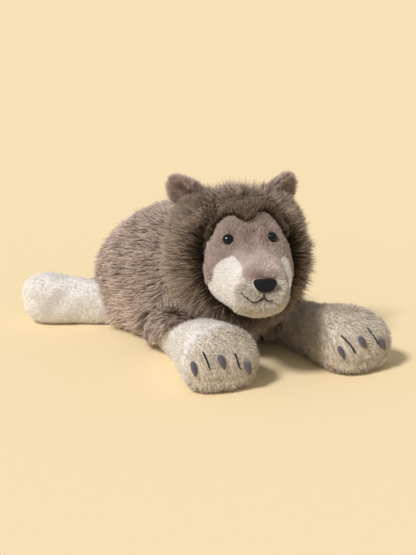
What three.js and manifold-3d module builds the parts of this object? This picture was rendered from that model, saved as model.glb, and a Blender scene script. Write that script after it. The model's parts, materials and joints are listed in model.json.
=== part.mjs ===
// A plush wolf lying on its belly with its head up, as an assembly of sewn and stuffed pieces.
// Millimetres. +Z is up, the wolf faces -Y and its own left is +X.
// The origin is on the floor, under the middle of the body.
import * as THREE from "three";
import { mergeVertices } from "three/addons/utils/BufferGeometryUtils.js";
import Module from "manifold-3d";

const wasm = await Module();
wasm.setup();

// Clearances
const seamGap = 0.3; // between two sewn pieces that touch
const runGap = 0.5; // round a limb's joint, over the facets of both faces
const neckGap = 1.2; // between the hood, the neck's gusset and the body

// Walls: the backing with the pile that stands on it, pressed
const furWall = 12; // long pile of the back and hood
const wellWall = 7; // round the body's openings for the limbs and the head
const faceWall = 3.6; // short pile of the face
const legWall = 4.5; // pile of the legs and paws
const tailWall = 5;

// Body: its lists run from the rear to the front
const bodyBack = 124;
const bodyFront = 132;
const bodyFullness = 2.3;
const bodySquareness = 2.2;
const bodyHalfWidths = [84, 88, 88, 88, 86, 78, 64];
const bodyTops = [80, 120, 138, 145, 146, 128, 76];
const bodyMiddles = [44, 50, 56, 60, 54, 42, 34];
const bodyBottom = -62; // the lower half bulges far below the floor, so it stands on a wide flat
const sideSeamHeight = 15; // where the back cover meets the belly panel
const chestSeamHeight = 48; // top of the chest panel
const chestSeamForward = 94; // how far forward of the middle the chest panel starts

// Pellet pouch in the belly
const pouchHalfLength = 58;
const pouchHalfWidth = 24;
const pouchHeight = 24;

// Head, about the centre of its hood
const headSide = -7;
const headForward = 115;
const headFloorGap = 32; // between the floor and the hood
const headRadius = 74;
const headHeight = headFloorGap + headRadius;
const headTurnAtRest = -23; // degrees about +Z, towards the wolf's right
const neckWall = 2.2;
const neckLean = 20; // degrees of the neck below straight back
const neckSpan = 33; // degrees from the neck's middle to the rim of its gusset
const neckOpening = 28; // degrees to the rim of the hood's neck opening
const neckPlugEase = 1; // degrees between that rim and the stuffing that fills it

// Face: its lists run from under the hood to the tip of the muzzle
const faceRoot = 18;
const faceTip = 122;
const faceFullness = 3.4;
const faceSquareness = 2.2;
const faceHalfWidths = [46, 48, 47, 42, 36, 32, 28];
const faceTops = [70, 69, 51, 30, 21, 17, 14];
const faceMiddles = [2, 0, -4, -7, -9, -11, -12];
const faceBottoms = [-42, -42, -41, -40, -39, -37, -34];
const faceEdge = 34; // where the face fabric ends under the hood
const faceOpeningHalfWidth = 48; // of the hood's opening
const faceOpeningTop = 60;
const faceOpeningBottom = -44;
const muzzleSeam = 101; // where the muzzle's pile starts
const cheekStart = 66; // how far forward the pale petal on each cheek starts
const cheekTopSide = 23; // of the petal's tip under the eye
const cheekTopHeight = 25;
const cheekInnerSide = 15.5; // where the petal comes nearest to the nose
const cheekInnerHeight = 11;
const cheekFootSide = 14; // where its inner edge meets the chin
const chinSeam = -27; // top of the cream under the muzzle

// Eyes
const eyeRadius = 5.6;
const eyeProud = 5;
const eyeSeat = 1.2; // how deep its flat back sits in the pile
const eyeSide = 23.5;
const eyesMiddle = -1; // the pair sits a little to the wolf's right
const eyeHeight = 35.5;
const eyeYaw = 24; // degrees outward
const shankRadius = 1.6;
const shankLength = 9;
const washerRadius = 4.6;
const washerThickness = 1.4;
const washerDepth = 5.4; // from the eye's flat back to the washer

// Nose and mouth
const noseHalfWidth = 12.5;
const noseHalfHeight = 8.2;
const noseTaper = 3.4; // of each side towards the bottom
const noseCorner = 4.5;
const noseSeat = 3;
const noseProud = 3.5;
const noseRounding = 2;
const noseHeight = 2;
const mouthThread = 0.8;
const mouthSide = -2; // the lips meet a little to the wolf's right
const mouthJoin = -9.5; // height where they meet under the nose
const mouthSag = 1; // of each lip below the straight way from the join
const lips = {
  left: { dipSide: 6, dip: -14.5, endSide: 14, end: -13 }, // sides from the join
  right: { dipSide: 10, dip: -14.5, endSide: 21.5, end: -6 },
};

// Ears
const earLean = 37; // degrees from upright, each to its side
const earBack = 11; // degrees backward
const earYaw = 28; // degrees that it faces outward
const earHalfWidth = 17;
const earHalfHeight = 18;
const earTops = { left: 33, right: 36 }; // from the hinge line to the tip
const earTaper = 0.28; // share by which its top is narrower and its base wider
const earSlant = 3; // how far its top leans outward, and its base inward
const earHalfThickness = 4.5;
const earCup = 5; // how far its edges curl forward
const earRim = 3; // of the back, seen round the lining
const earRoot = 4.6; // radius of the roll at its hinge line
const earRootHalfLength = 14;
const earRootProud = 0.6; // of the hinge line over the hood
const earFold = 25; // degrees each way

// Forelegs: their lists run from the shoulder to the tip of the paw
const forelegLength = 163;
const forelegHalfWidths = [25.5, 25.5, 26, 29, 36, 41, 41];
const forelegTops = [49, 49, 49, 54, 60, 61, 53];
const pawStart = 94; // from the shoulder to the wrist seam
const pawRounding = 34; // length of the rounded end
const pawFullness = 3;
const pawSeamHeight = 18; // where the band round the paw meets its top
const shoulderForward = 80;
const shoulderHalfWidth = 61;
const shoulderTwist = 17; // degrees, the shoulders turned after the head
const leftForelegSplay = 18; // degrees outward from the twisted shoulders
const rightForelegSplay = -4;
const forelegIn = 3; // degrees that it swings
const forelegOut = 45;

// Limbs alike
const limbMiddle = 24; // height of the widest line
const limbBottom = -4; // below the floor, so that each limb stands on a flat
const limbSquareness = 2.4;
const limbEndFullness = 3.4;

// Claws and toe stitches of the forepaws
// where they stand across each paw and above the floor, their lower ends leaning to the left
const clawHalfWidth = 3.6;
const clawHalfThickness = 2.5;
const clawHalfHeight = 8.2;
const toeThread = 0.9;
const toeHalfHeight = 9;
const claws = {
  left: { sides: [-35, -13, 15], heights: [28, 37, 29], tilt: 28 },
  right: { sides: [-34, -7, 22], heights: [29, 35, 24], tilt: 16 },
};
const toes = {
  left: { sides: [-27, 3], heights: [36, 40] },
  right: { sides: [-22, 10], heights: [37, 33] },
};

// Hind legs
const hindlegLength = 119;
const hindlegHalfWidths = [25.5, 25.5, 25.5, 26, 28, 30, 28];
const hindlegTops = [50, 50, 50, 52, 56, 58, 56];
const hindlegMiddles = [24, 24, 24, 28, 34];
const footStart = 72; // from the hip to the ankle seam
const footRounding = 46;
const footSeamHeight = 34; // the foot's shaggy top starts here
const hipBack = 41;
const hipHalfWidth = 56;
const hindlegSplay = 54; // degrees outward from straight back
const hindlegIn = 8; // degrees that it swings
const hindlegOut = 22;

// Tail
const tailPivotBack = 112;
const tailMiddle = 15; // height of its middle
const tailHalfWidths = [15, 15.5, 15, 13.5, 11];
const tailTops = [30, 30.5, 29, 27, 23];
const tailLength = 74;
const tailRounding = 22;
const tailEndFullness = 2;
const tailSquareness = 2;
const tailOpening = 6; // radius of the opening at its root
const tailSwing = 30; // degrees each way

const colours = {
  fur: 0x8f786c,
  hood: 0x6c5747,
  face: 0x9b8478,
  cream: 0xe4dccf,
  paw: 0xccbfaa,
  muzzle: 0xc3b5a2,
  lining: 0x85706a,
  stuffing: 0xf3f1ec,
  pouch: 0xc9c4bb,
  gusset: 0x8a776b,
  black: 0x17181a,
  claw: 0x66606a,
  washer: 0xe9e9e6,
};

const fabric = (colour) => new THREE.MeshStandardMaterial({ color: colour, roughness: 0.95, metalness: 0 });
const plastic = (colour) => new THREE.MeshStandardMaterial({ color: colour, roughness: 0.12, metalness: 0 });

const degrees = THREE.MathUtils.degToRad;
const sides = { left: 1, right: -1 };

// Solids

// A closed three.js geometry as a manifold solid.
function solid(geometry) {
  const plain = geometry.clone();
  plain.deleteAttribute("normal");
  plain.deleteAttribute("uv");
  const merged = mergeVertices(plain, 1e-4);
  return new wasm.Manifold(
    new wasm.Mesh({
      numProp: 3,
      vertProperties: new Float32Array(merged.attributes.position.array),
      triVerts: new Uint32Array(merged.index.array),
    }),
  );
}

// A manifold solid back as a three.js geometry.
function geometryOf(made) {
  const mesh = made.getMesh();
  const geometry = new THREE.BufferGeometry();
  geometry.setAttribute("position", new THREE.BufferAttribute(new Float32Array(mesh.vertProperties), 3));
  geometry.setIndex(new THREE.BufferAttribute(new Uint32Array(mesh.triVerts), 1));
  geometry.computeVertexNormals();
  return geometry;
}

function piece(name, made, material, parent) {
  const mesh = new THREE.Mesh(geometryOf(made), material);
  mesh.name = name;
  parent.add(mesh);
}

const joined = (solids) => solids.reduce((all, one) => all.add(one));

const ball = (radius, around = 20, rows = 12) =>
  solid(new THREE.SphereGeometry(radius, around, rows).rotateX(Math.PI / 2));

const rod = (radius, length, around = 12) => solid(new THREE.CylinderGeometry(radius, radius, length, around));

function block(low, high) {
  const size = high.map((value, i) => value - low[i]);
  const middle = high.map((value, i) => (value + low[i]) / 2);
  return solid(new THREE.BoxGeometry(...size).translate(...middle));
}

// Everything beyond one level plane, or one plane across the way a piece points
const far = 400;
const forwardOf = (distance) => block([-far, -far, -far], [far, -distance, far]);
const behind = (distance) => block([-far, -distance, -far], [far, far, far]);
const below = (height) => block([-far, -far, -far], [far, far, height]);
const above = (height) => block([-far, -far, height], [far, far, far]);

// A profile of [radius, distance] points, turned round the Z axis. It runs from the bottom up.
function turned(profile, around = 24) {
  const points = profile.map(([radius, distance]) => new THREE.Vector2(radius, distance));
  return solid(new THREE.LatheGeometry(points, around).rotateX(Math.PI / 2));
}

// Threads along smooth curves through points, joined into one solid.
function threads(paths, radius) {
  const corners = 5;
  const outline = new THREE.Shape(
    Array.from({ length: corners }, (_, i) => {
      const turn = (2 * Math.PI * i) / corners;
      return new THREE.Vector2(radius * Math.cos(turn), radius * Math.sin(turn));
    }),
  );
  return joined(
    paths.map((points) => {
      const extrudePath = new THREE.CatmullRomCurve3(points);
      const steps = points.length - 1;
      return solid(new THREE.ExtrudeGeometry(outline, { steps, extrudePath, bevelEnabled: false }));
    }),
  );
}

// Stuffed forms

// A value on the smooth curve through evenly spaced ones, at a share from 0 to 1.
function along(values, share) {
  const points = values.map((value, i) => new THREE.Vector2(i, value));
  return new THREE.SplineCurve(points).getPoint(THREE.MathUtils.clamp(share, 0, 1)).y;
}

const bulge = (value, squareness) => Math.sign(value) * Math.pow(Math.abs(value), 2 / squareness);

// How much of its section a form keeps at a share of its length: 1 along it, 0 at a rounded end.
function closing(form, share) {
  const start = 1 - form.rounding / form.length;
  const into = form.rounding ? Math.max(0, (share - start) / (1 - start)) : Math.abs(2 * share - 1);
  return Math.pow(Math.max(0, 1 - Math.pow(into, form.fullness)), 1 / form.fullness);
}

// One section across a form, with a wall taken off all round.
function section(form, share, inset) {
  const scale = closing(form, share);
  const middle = along(form.middles, share);
  return {
    middle,
    halfWidth: (along(form.halfWidths, share) - inset) * scale,
    rise: (along(form.tops, share) - inset - middle) * scale,
    drop: (middle - along(form.bottoms, share) - inset) * scale,
  };
}

// The shares at which a form has its rings. A limb starts with a full section at its joint.
function ringShares(form) {
  if (!form.rounding) {
    return Array.from({ length: form.rows + 1 }, (_, i) => (1 - Math.cos((Math.PI * i) / form.rows)) / 2);
  }
  const start = 1 - form.rounding / form.length;
  const straight = Array.from({ length: form.rows }, (_, i) => (start * i) / (form.rows - 1));
  const round = Array.from({ length: form.endRows }, (_, i) => Math.sin((Math.PI / 2) * ((i + 1) / form.endRows)));
  return [0, ...straight, ...round.map((value) => start + (1 - start) * value)];
}

// A stuffed form along -Y, swelling and tapering as its lists say. Its sections are squared
// ellipses above and below a middle line, and an inset takes a wall off all round.
function stuffed(form, inset = 0) {
  const shares = ringShares(form);
  const geometry = new THREE.SphereGeometry(1, form.around, shares.length - 1);
  const position = geometry.attributes.position;
  const start = form.rounding ? 0 : form.back - inset;
  const reach = form.rounding ? form.length - inset : form.length - 2 * inset;
  for (let i = 0; i < position.count; i++) {
    const row = Math.floor(i / (form.around + 1));
    const turn = (2 * Math.PI * (i % (form.around + 1))) / form.around;
    const cut = section(form, shares[row], inset);
    const pole = row === 0 || row === shares.length - 1;
    const side = pole ? 0 : bulge(-Math.cos(turn), form.squareness);
    const height = pole ? 0 : bulge(Math.sin(turn), form.squareness);
    const y = start - shares[row] * reach;
    position.setXYZ(i, side * cut.halfWidth, y, cut.middle + height * (height > 0 ? cut.rise : cut.drop));
  }
  const made = form.rounding ? solid(geometry).add(limbRoot(form, inset)) : solid(geometry);
  return form.floats ? made : made.intersect(above(Math.max(0, inset)));
}

// The root of a limb: its first section turned round the upright axis of its joint.
function limbRoot(form, inset) {
  const cut = section(form, 0, inset);
  const steps = form.around / 2;
  const profile = Array.from({ length: steps + 1 }, (_, i) => {
    const turn = Math.PI * (i / steps - 0.5);
    const height = bulge(Math.sin(turn), form.squareness);
    const radius = i % steps === 0 ? 0 : cut.halfWidth * bulge(Math.cos(turn), form.squareness);
    return [radius, cut.middle + height * (height > 0 ? cut.rise : cut.drop)];
  });
  return turned(profile, form.around);
}

// How far forward a form's surface lies at a place seen from the front.
function frontOf(form, x, z) {
  const end = form.rounding ? form.length : form.length - form.back;
  const inside = (forward) => {
    const cut = section(form, (forward + (form.rounding ? 0 : form.back)) / form.length, 0);
    const height = z - cut.middle;
    const across = Math.pow(Math.abs(x) / cut.halfWidth, form.squareness);
    return across + Math.pow(Math.abs(height) / (height > 0 ? cut.rise : cut.drop), form.squareness) < 1;
  };
  const back = end - 0.8 * form.length;
  const step = 3;
  let high = end;
  while (high > back && !inside(high - step)) high -= step;
  let low = high - step;
  for (let i = 0; i < 30; i++) {
    const middle = (low + high) / 2;
    if (inside(middle)) low = middle;
    else high = middle;
  }
  return low;
}

// A point on the front of a form, and the slopes of the surface there, in degrees.
function onFront(form, x, z) {
  const step = 3;
  const slope = (further, nearer) => THREE.MathUtils.radToDeg(Math.atan2(further - nearer, 2 * step));
  return {
    point: new THREE.Vector3(x, -frontOf(form, x, z), z),
    lean: slope(frontOf(form, x, z - step), frontOf(form, x, z + step)),
    yaw: slope(frontOf(form, x - step, z), frontOf(form, x + step, z)),
  };
}

// Forms

const bodyForm = {
  back: bodyBack,
  length: bodyBack + bodyFront,
  fullness: bodyFullness,
  squareness: bodySquareness,
  halfWidths: bodyHalfWidths,
  tops: bodyTops,
  middles: bodyMiddles,
  bottoms: [bodyBottom, bodyBottom],
  around: 20,
  rows: 10,
};

const faceForm = {
  back: -faceRoot,
  length: faceTip - faceRoot,
  fullness: faceFullness,
  squareness: faceSquareness,
  halfWidths: faceHalfWidths,
  tops: faceTops,
  middles: faceMiddles,
  bottoms: faceBottoms,
  around: 20,
  rows: 9,
  floats: true,
};

const limb = {
  squareness: limbSquareness,
  middles: [limbMiddle, limbMiddle],
  bottoms: [limbBottom, limbBottom],
  fullness: limbEndFullness,
  around: 12,
  rows: 4,
  endRows: 3,
};

const forelegForm = {
  ...limb,
  length: forelegLength,
  rounding: pawRounding,
  fullness: pawFullness,
  halfWidths: forelegHalfWidths,
  tops: forelegTops,
};

const hindlegForm = {
  ...limb,
  length: hindlegLength,
  rounding: footRounding,
  middles: hindlegMiddles,
  halfWidths: hindlegHalfWidths,
  tops: hindlegTops,
};

const tailForm = {
  ...limb,
  length: tailLength,
  rounding: tailRounding,
  fullness: tailEndFullness,
  squareness: tailSquareness,
  halfWidths: tailHalfWidths,
  tops: tailTops,
  middles: [tailMiddle, tailMiddle],
  around: 12,
  rows: 3,
  endRows: 3,
};

// Places of the joints. Each limb points along its own -Y before it is turned.

const headPlace = { x: headSide, y: -headForward, z: headHeight, turn: headTurnAtRest };
const tailPlace = { x: 0, y: tailPivotBack, z: 0, turn: 180 };

function forelegPlace(name) {
  const side = sides[name];
  const twist = -degrees(shoulderTwist);
  const splay = name === "left" ? leftForelegSplay : rightForelegSplay;
  return {
    x: side * shoulderHalfWidth * Math.cos(twist),
    y: -shoulderForward + side * shoulderHalfWidth * Math.sin(twist),
    z: 0,
    turn: -shoulderTwist + side * splay,
  };
}

const hindlegPlace = (name) => ({
  x: sides[name] * hipHalfWidth,
  y: hipBack,
  z: 0,
  turn: 180 - sides[name] * hindlegSplay,
});

const placed = (made, place) => made.rotate([0, 0, place.turn]).translate([place.x, place.y, place.z]);

function placedGroup(parent, place) {
  const group = new THREE.Group();
  group.position.set(place.x, place.y, place.z);
  group.rotation.z = degrees(place.turn);
  parent.add(group);
  return group;
}

// The room that a limb sweeps, as high as its root: a round well at the joint that opens
// between the limb's two limits, in degrees about +Z from the joint's own -Y.
function sweptRoom(form, limits, margin) {
  const radius = Math.max(...form.halfWidths.slice(0, 3)) + margin;
  const height = Math.max(...form.tops.slice(0, 3)) + margin;
  const steps = 12;
  const [low, high] = limits.map(degrees);
  const points = Array.from({ length: steps + 1 }, (_, i) => {
    const turn = high + ((Math.PI - high + low) * i) / steps;
    return new THREE.Vector2(radius * Math.cos(turn), radius * Math.sin(turn));
  });
  const edge = (turn, side) =>
    new THREE.Vector2(
      side * Math.cos(turn) + form.length * Math.sin(turn),
      side * Math.sin(turn) - form.length * Math.cos(turn),
    );
  points.push(edge(low, -radius), edge(high, radius));
  const depth = height + far;
  const room = new THREE.ExtrudeGeometry(new THREE.Shape(points), { depth, bevelEnabled: false });
  return solid(room.translate(0, 0, -far));
}

// What the body leaves free for the head, the legs and the tail. The margin grows it all.
function rooms(margin) {
  const around = runGap + margin;
  const socket = ball(headRadius + 2 * neckGap + neckWall + margin, 28, 18);
  const legRooms = Object.entries(sides).flatMap(([name, side]) => {
    const fore = [-forelegIn, forelegOut].map((limit) => side * limit);
    const hind = [-hindlegOut, hindlegIn].map((limit) => side * limit);
    const rising = (a, b) => a - b;
    return [
      placed(sweptRoom(forelegForm, fore.sort(rising), around), forelegPlace(name)),
      placed(sweptRoom(hindlegForm, hind.sort(rising), around), hindlegPlace(name)),
    ];
  });
  const tailRoom = placed(sweptRoom(tailForm, [-tailSwing, tailSwing], around), tailPlace);
  return joined([placed(socket, headPlace), ...legRooms, tailRoom]);
}

// Body

function addBody(parent) {
  const shell = stuffed(bodyForm)
    .subtract(rooms(0))
    .subtract(stuffed(bodyForm, furWall).subtract(rooms(wellWall)));
  const pale = (margin) =>
    forwardOf(chestSeamForward - margin)
      .intersect(below(chestSeamHeight + margin))
      .add(below(sideSeamHeight + margin));
  const lining = furWall + seamGap;
  const dome = (margin) =>
    solid(new THREE.SphereGeometry(1, 16, 8).rotateX(Math.PI / 2))
      .scale([pouchHalfWidth + margin, pouchHalfLength + margin, pouchHeight + margin])
      .translate([0, 0, lining])
      .intersect(above(lining - margin));
  const stuffing = stuffed(bodyForm, lining)
    .subtract(rooms(wellWall + seamGap))
    .subtract(dome(2 * seamGap));
  piece("back_cover", shell.subtract(pale(seamGap)), fabric(colours.fur), parent);
  piece("belly_panel", shell.intersect(pale(0)), fabric(colours.cream), parent);
  piece("body_stuffing", stuffing, fabric(colours.stuffing), parent);
  piece("pellet_pouch", dome(0), fabric(colours.pouch), parent);
}

// Neck: a bowl of fabric round the back of the hood, that closes the body

function addNeck(parent) {
  const inner = headRadius + neckGap;
  const outer = inner + neckWall;
  const steps = 5;
  const arc = (radius) =>
    Array.from({ length: steps + 1 }, (_, i) => {
      const turn = (degrees(neckSpan) * i) / steps;
      return [radius * Math.sin(turn), radius * Math.cos(turn)];
    });
  const bowl = turned([...arc(inner), ...arc(outer).reverse()], 24);
  piece("neck_gusset", towardsNeck(bowl), fabric(colours.gusset), parent);
}

const towardsNeck = (made) => made.rotate([-90 - neckLean, 0, 0]);

// Head

function neckCone(halfAngle) {
  const reach = 1.2 * headRadius;
  return towardsNeck(turned([[0, 0], [reach * Math.tan(degrees(halfAngle)), reach], [0, reach]], 20));
}

// The hood's opening for the face, which lies a little deeper than the hood
function faceOpening() {
  const halfHeight = (faceOpeningTop - faceOpeningBottom) / 2;
  return rod(1, far, 20)
    .scale([faceOpeningHalfWidth, 1, halfHeight])
    .translate([0, -far / 2, faceOpeningBottom + halfHeight])
    .intersect(forwardOf(faceEdge - seamGap));
}

// The brown and the cream of the face, by regions seen from the front. The margin grows the cream.
function creamRegion(margin) {
  const outline = new THREE.Shape();
  outline.moveTo(far, cheekTopHeight + margin);
  outline.lineTo(cheekTopSide, cheekTopHeight + margin);
  outline.quadraticCurveTo(cheekInnerSide - margin, cheekTopHeight, cheekInnerSide - margin, cheekInnerHeight);
  outline.lineTo(cheekFootSide - margin, chinSeam);
  outline.lineTo(far, chinSeam);
  const prism = new THREE.ExtrudeGeometry(outline, { depth: far, curveSegments: 4, bevelEnabled: false });
  const petal = solid(prism.rotateX(Math.PI / 2)).intersect(forwardOf(cheekStart - margin));
  return joined([petal, petal.mirror([1, 0, 0]), below(chinSeam + margin)]).intersect(behind(muzzleSeam - seamGap));
}

function addHead(parent) {
  const shell = ball(headRadius).subtract(ball(headRadius - furWall));
  const hood = shell
    .subtract(stuffed(faceForm, -seamGap))
    .subtract(faceOpening())
    .subtract(neckCone(neckOpening))
    .subtract(joined(Object.values(sides).map((side) => leant(earRoll(runGap), side))));
  const face = stuffed(faceForm).subtract(stuffed(faceForm, faceWall)).intersect(forwardOf(faceEdge));
  const brown = face.intersect(behind(muzzleSeam - seamGap)).subtract(creamRegion(seamGap));
  const muzzle = face
    .intersect(forwardOf(muzzleSeam))
    .subtract(nosePad(seamGap))
    .subtract(mouth(mouthThread + seamGap, noseBottom));
  const plug = ball(headRadius - seamGap).intersect(neckCone(neckOpening - neckPlugEase));
  const stuffing = ball(headRadius - furWall - seamGap)
    .add(plug)
    .subtract(stuffed(faceForm, -seamGap).intersect(forwardOf(faceEdge - seamGap)))
    .subtract(faceOpening())
    .add(stuffed(faceForm, faceWall + seamGap));
  piece("hood", hood, fabric(colours.hood), parent);
  piece("face_mask", brown.subtract(eyes(eyeSolid(seamGap))), fabric(colours.face), parent);
  piece("cheeks_and_chin", face.intersect(creamRegion(0)), fabric(colours.cream), parent);
  piece("muzzle", muzzle, fabric(colours.muzzle), parent);
  piece("head_stuffing", stuffing.subtract(eyes(washerPocket())), fabric(colours.stuffing), parent);
}

// Eyes: a plastic dome on a shank, held by a washer behind the fabric

function eyePlace(side) {
  const { point, lean } = onFront(faceForm, eyesMiddle + side * eyeSide, eyeHeight);
  return { point, turns: [90 - lean, 0, side * eyeYaw] };
}

const atEye = (made, side) => {
  const { point, turns } = eyePlace(side);
  return made.translate([0, 0, -eyeSeat]).rotate(turns).translate(point.toArray());
};

const eyes = (made) => joined(Object.values(sides).map((side) => atEye(made, side)));

function eyeSolid(margin) {
  const steps = 4;
  const dome = Array.from({ length: steps }, (_, i) => {
    const turn = (Math.PI / 2) * (i / steps);
    return [(eyeRadius + margin) * Math.cos(turn), (eyeProud + margin) * Math.sin(turn)];
  });
  const shank = [
    [0, -shankLength - margin],
    [shankRadius + margin, -shankLength - margin],
    [shankRadius + margin, -margin],
    [eyeRadius + margin, -margin],
  ];
  return turned([...shank, ...dome, [0, eyeProud + margin]], 14);
}

function washerSolid() {
  const inner = shankRadius + seamGap;
  const top = -washerDepth;
  const bottom = top - washerThickness;
  return turned([[inner, bottom], [washerRadius, bottom], [washerRadius, top], [inner, top], [inner, bottom]], 12);
}

const washerPocket = () =>
  turned(
    [
      [0, -shankLength - seamGap],
      [washerRadius + seamGap, -shankLength - seamGap],
      [washerRadius + seamGap, 0],
      [0, 0],
    ],
    12,
  );

function addEyes(parent) {
  for (const [name, side] of Object.entries(sides)) {
    piece("eye_" + name, atEye(eyeSolid(0), side), plastic(colours.black), parent);
    piece("eye_washer_" + name, atEye(washerSolid(), side), plastic(colours.washer), parent);
  }
}

// Nose: an embroidered pad, wider at the top

function nosePad(margin) {
  const width = noseHalfWidth + margin;
  const height = noseHalfHeight + margin;
  const foot = width - noseTaper;
  const corner = noseCorner;
  const outline = new THREE.Shape();
  outline.moveTo(-foot + corner, -height);
  outline.lineTo(foot - corner, -height);
  outline.quadraticCurveTo(foot, -height, foot + (corner * noseTaper) / (2 * height), -height + corner);
  outline.lineTo(width - (corner * noseTaper) / (2 * height), height - corner);
  outline.quadraticCurveTo(width, height, width - corner, height);
  outline.lineTo(-width + corner, height);
  outline.quadraticCurveTo(-width, height, -width + (corner * noseTaper) / (2 * height), height - corner);
  outline.lineTo(-foot - (corner * noseTaper) / (2 * height), -height + corner);
  outline.quadraticCurveTo(-foot, -height, -foot + corner, -height);
  const depth = noseSeat + noseProud - noseRounding + margin;
  const pad = new THREE.ExtrudeGeometry(outline, {
    depth,
    curveSegments: 2,
    bevelEnabled: true,
    bevelThickness: noseRounding,
    bevelSize: noseRounding,
    bevelOffset: -noseRounding,
    bevelSegments: 2,
  });
  const tip = frontOf(faceForm, 0, noseHeight);
  return solid(pad.rotateX(Math.PI / 2).translate(0, -tip + noseSeat + margin, noseHeight)).intersect(
    forwardOf(tip - noseSeat - margin),
  );
}

// Mouth: a lip to each side of the join, and a line up to the nose

const noseBottom = noseHeight - noseHalfHeight;

function mouth(radius, lineTop) {
  const onFace = (x, z) => onFront(faceForm, mouthSide + x, z).point;
  const lip = (name) => {
    const { dipSide, dip, endSide, end } = lips[name];
    const side = sides[name];
    return [
      onFace(0, mouthJoin),
      onFace(side * 0.5 * dipSide, 0.5 * (mouthJoin + dip) - mouthSag),
      onFace(side * dipSide, dip),
      onFace(side * 0.5 * (dipSide + endSide), 0.6 * dip + 0.4 * end),
      onFace(side * endSide, end),
    ];
  };
  const line = [onFace(0, lineTop), onFace(0, mouthJoin)];
  return threads([lip("left"), lip("right"), line], radius);
}

function addNoseAndMouth(parent) {
  piece("nose", nosePad(0), fabric(colours.black), parent);
  piece("mouth_stitch", mouth(mouthThread, noseBottom - 2 * seamGap), fabric(colours.black), parent);
}

// Ears: a cupped back with a lining before it, on a roll at the hinge line

const leant = (made, side) =>
  made
    .translate([0, 0, headRadius + earRootProud])
    .rotate([0, 0, side * earYaw])
    .rotate([-earBack, 0, 0])
    .rotate([0, side * earLean, 0]);

const earRoll = (margin) => rod(earRoot + margin, 2 * (earRootHalfLength + margin)).rotate([0, 0, 90]);

// Half of an ear's thickness, to the front or to the back of its middle face.
function earHalf(name, direction, rim) {
  const geometry = new THREE.SphereGeometry(1, 12, 6);
  const position = geometry.attributes.position;
  for (let i = 0; i < position.count; i++) {
    const x = position.getX(i);
    const z = position.getZ(i);
    const depth = Math.max(0, direction * position.getY(i)) * (earHalfThickness - rim / 2);
    position.setXYZ(
      i,
      x * (1 - earTaper * z) * (earHalfWidth - rim) + sides[name] * earSlant * z,
      direction * (depth + seamGap / 2) - earCup * x * x,
      earTops[name] - earHalfHeight + z * (earHalfHeight - rim),
    );
  }
  return solid(geometry);
}

function addEar(parent, name) {
  const ear = new THREE.Group();
  const side = sides[name];
  ear.rotation.set(-degrees(earBack), side * degrees(earLean), side * degrees(earYaw), "YXZ");
  parent.add(ear);
  const seat = [0, 0, headRadius + earRootProud];
  const back = earHalf(name, 1, 0).add(earRoll(0));
  const lining = earHalf(name, -1, earRim).subtract(earRoll(seamGap));
  piece("ear_back_" + name, back.translate(seat), fabric(colours.fur), ear);
  piece("ear_lining_" + name, lining.translate(seat), fabric(colours.lining), ear);
}

// Forelegs: a sleeve, the paw's top and its band and sole, three claws and two toe stitches

function claw(x, z, tilt, margin) {
  const { point, lean, yaw } = onFront(forelegForm, x, z);
  return solid(new THREE.SphereGeometry(1, 8, 6).rotateX(Math.PI / 2))
    .scale([clawHalfWidth + margin, clawHalfThickness + margin, clawHalfHeight + margin])
    .rotate([0, -tilt, 0])
    .rotate([-lean, 0, 0])
    .rotate([0, 0, yaw])
    .translate(point.toArray());
}

function toeStitch(x, z, tilt, radius) {
  const steps = 4;
  const points = Array.from({ length: steps + 1 }, (_, i) => {
    const up = toeHalfHeight * ((2 * i) / steps - 1);
    return onFront(forelegForm, x - up * Math.tan(THREE.MathUtils.degToRad(tilt)), z + up).point;
  });
  return threads([points], radius);
}

function addForeleg(parent, name) {
  const group = placedGroup(parent, forelegPlace(name));
  const shell = stuffed(forelegForm).subtract(stuffed(forelegForm, legWall));
  const paw = shell.intersect(forwardOf(pawStart + seamGap));
  const { tilt } = claws[name];
  const pawClaws = (margin) => claws[name].sides.map((x, i) => claw(x, claws[name].heights[i], tilt, margin));
  const pawToes = (radius) => toes[name].sides.map((x, i) => toeStitch(x, toes[name].heights[i], tilt, radius));
  const cuts = joined([...pawClaws(seamGap), ...pawToes(toeThread + seamGap)]);
  piece("foreleg_sleeve_" + name, shell.intersect(behind(pawStart)), fabric(colours.cream), group);
  piece("paw_top_" + name, paw.intersect(above(pawSeamHeight + seamGap)).subtract(cuts), fabric(colours.paw), group);
  piece("paw_sole_" + name, paw.intersect(below(pawSeamHeight)).subtract(cuts), fabric(colours.paw), group);
  piece("foreleg_stuffing_" + name, stuffed(forelegForm, legWall + seamGap), fabric(colours.stuffing), group);
  pawClaws(0).forEach((claw, i) => piece(`claw_${name}_${i + 1}`, claw, fabric(colours.claw), group));
  pawToes(toeThread).forEach((toe, i) => piece(`toe_stitch_${name}_${i + 1}`, toe, fabric(colours.black), group));
}

// Hind legs: a smooth cover with a shaggy top to the foot

function addHindleg(parent, name) {
  const group = placedGroup(parent, hindlegPlace(name));
  const shell = stuffed(hindlegForm).subtract(stuffed(hindlegForm, legWall));
  const footTop = (margin) => forwardOf(footStart - margin).intersect(above(footSeamHeight - margin));
  piece("hindleg_cover_" + name, shell.subtract(footTop(seamGap)), fabric(colours.cream), group);
  piece("foot_top_" + name, shell.intersect(footTop(0)), fabric(colours.paw), group);
  piece("hindleg_stuffing_" + name, stuffed(hindlegForm, legWall + seamGap), fabric(colours.stuffing), group);
}

// Tail

function addTail(parent) {
  const group = placedGroup(parent, tailPlace);
  const length = tailHalfWidths[0] + seamGap;
  const opening = rod(tailOpening, length).translate([0, length / 2, tailMiddle]);
  const cover = stuffed(tailForm).subtract(stuffed(tailForm, tailWall)).subtract(opening);
  piece("tail_cover", cover, fabric(colours.fur), group);
  piece("tail_stuffing", stuffed(tailForm, tailWall + seamGap), fabric(colours.stuffing), group);
}

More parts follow.
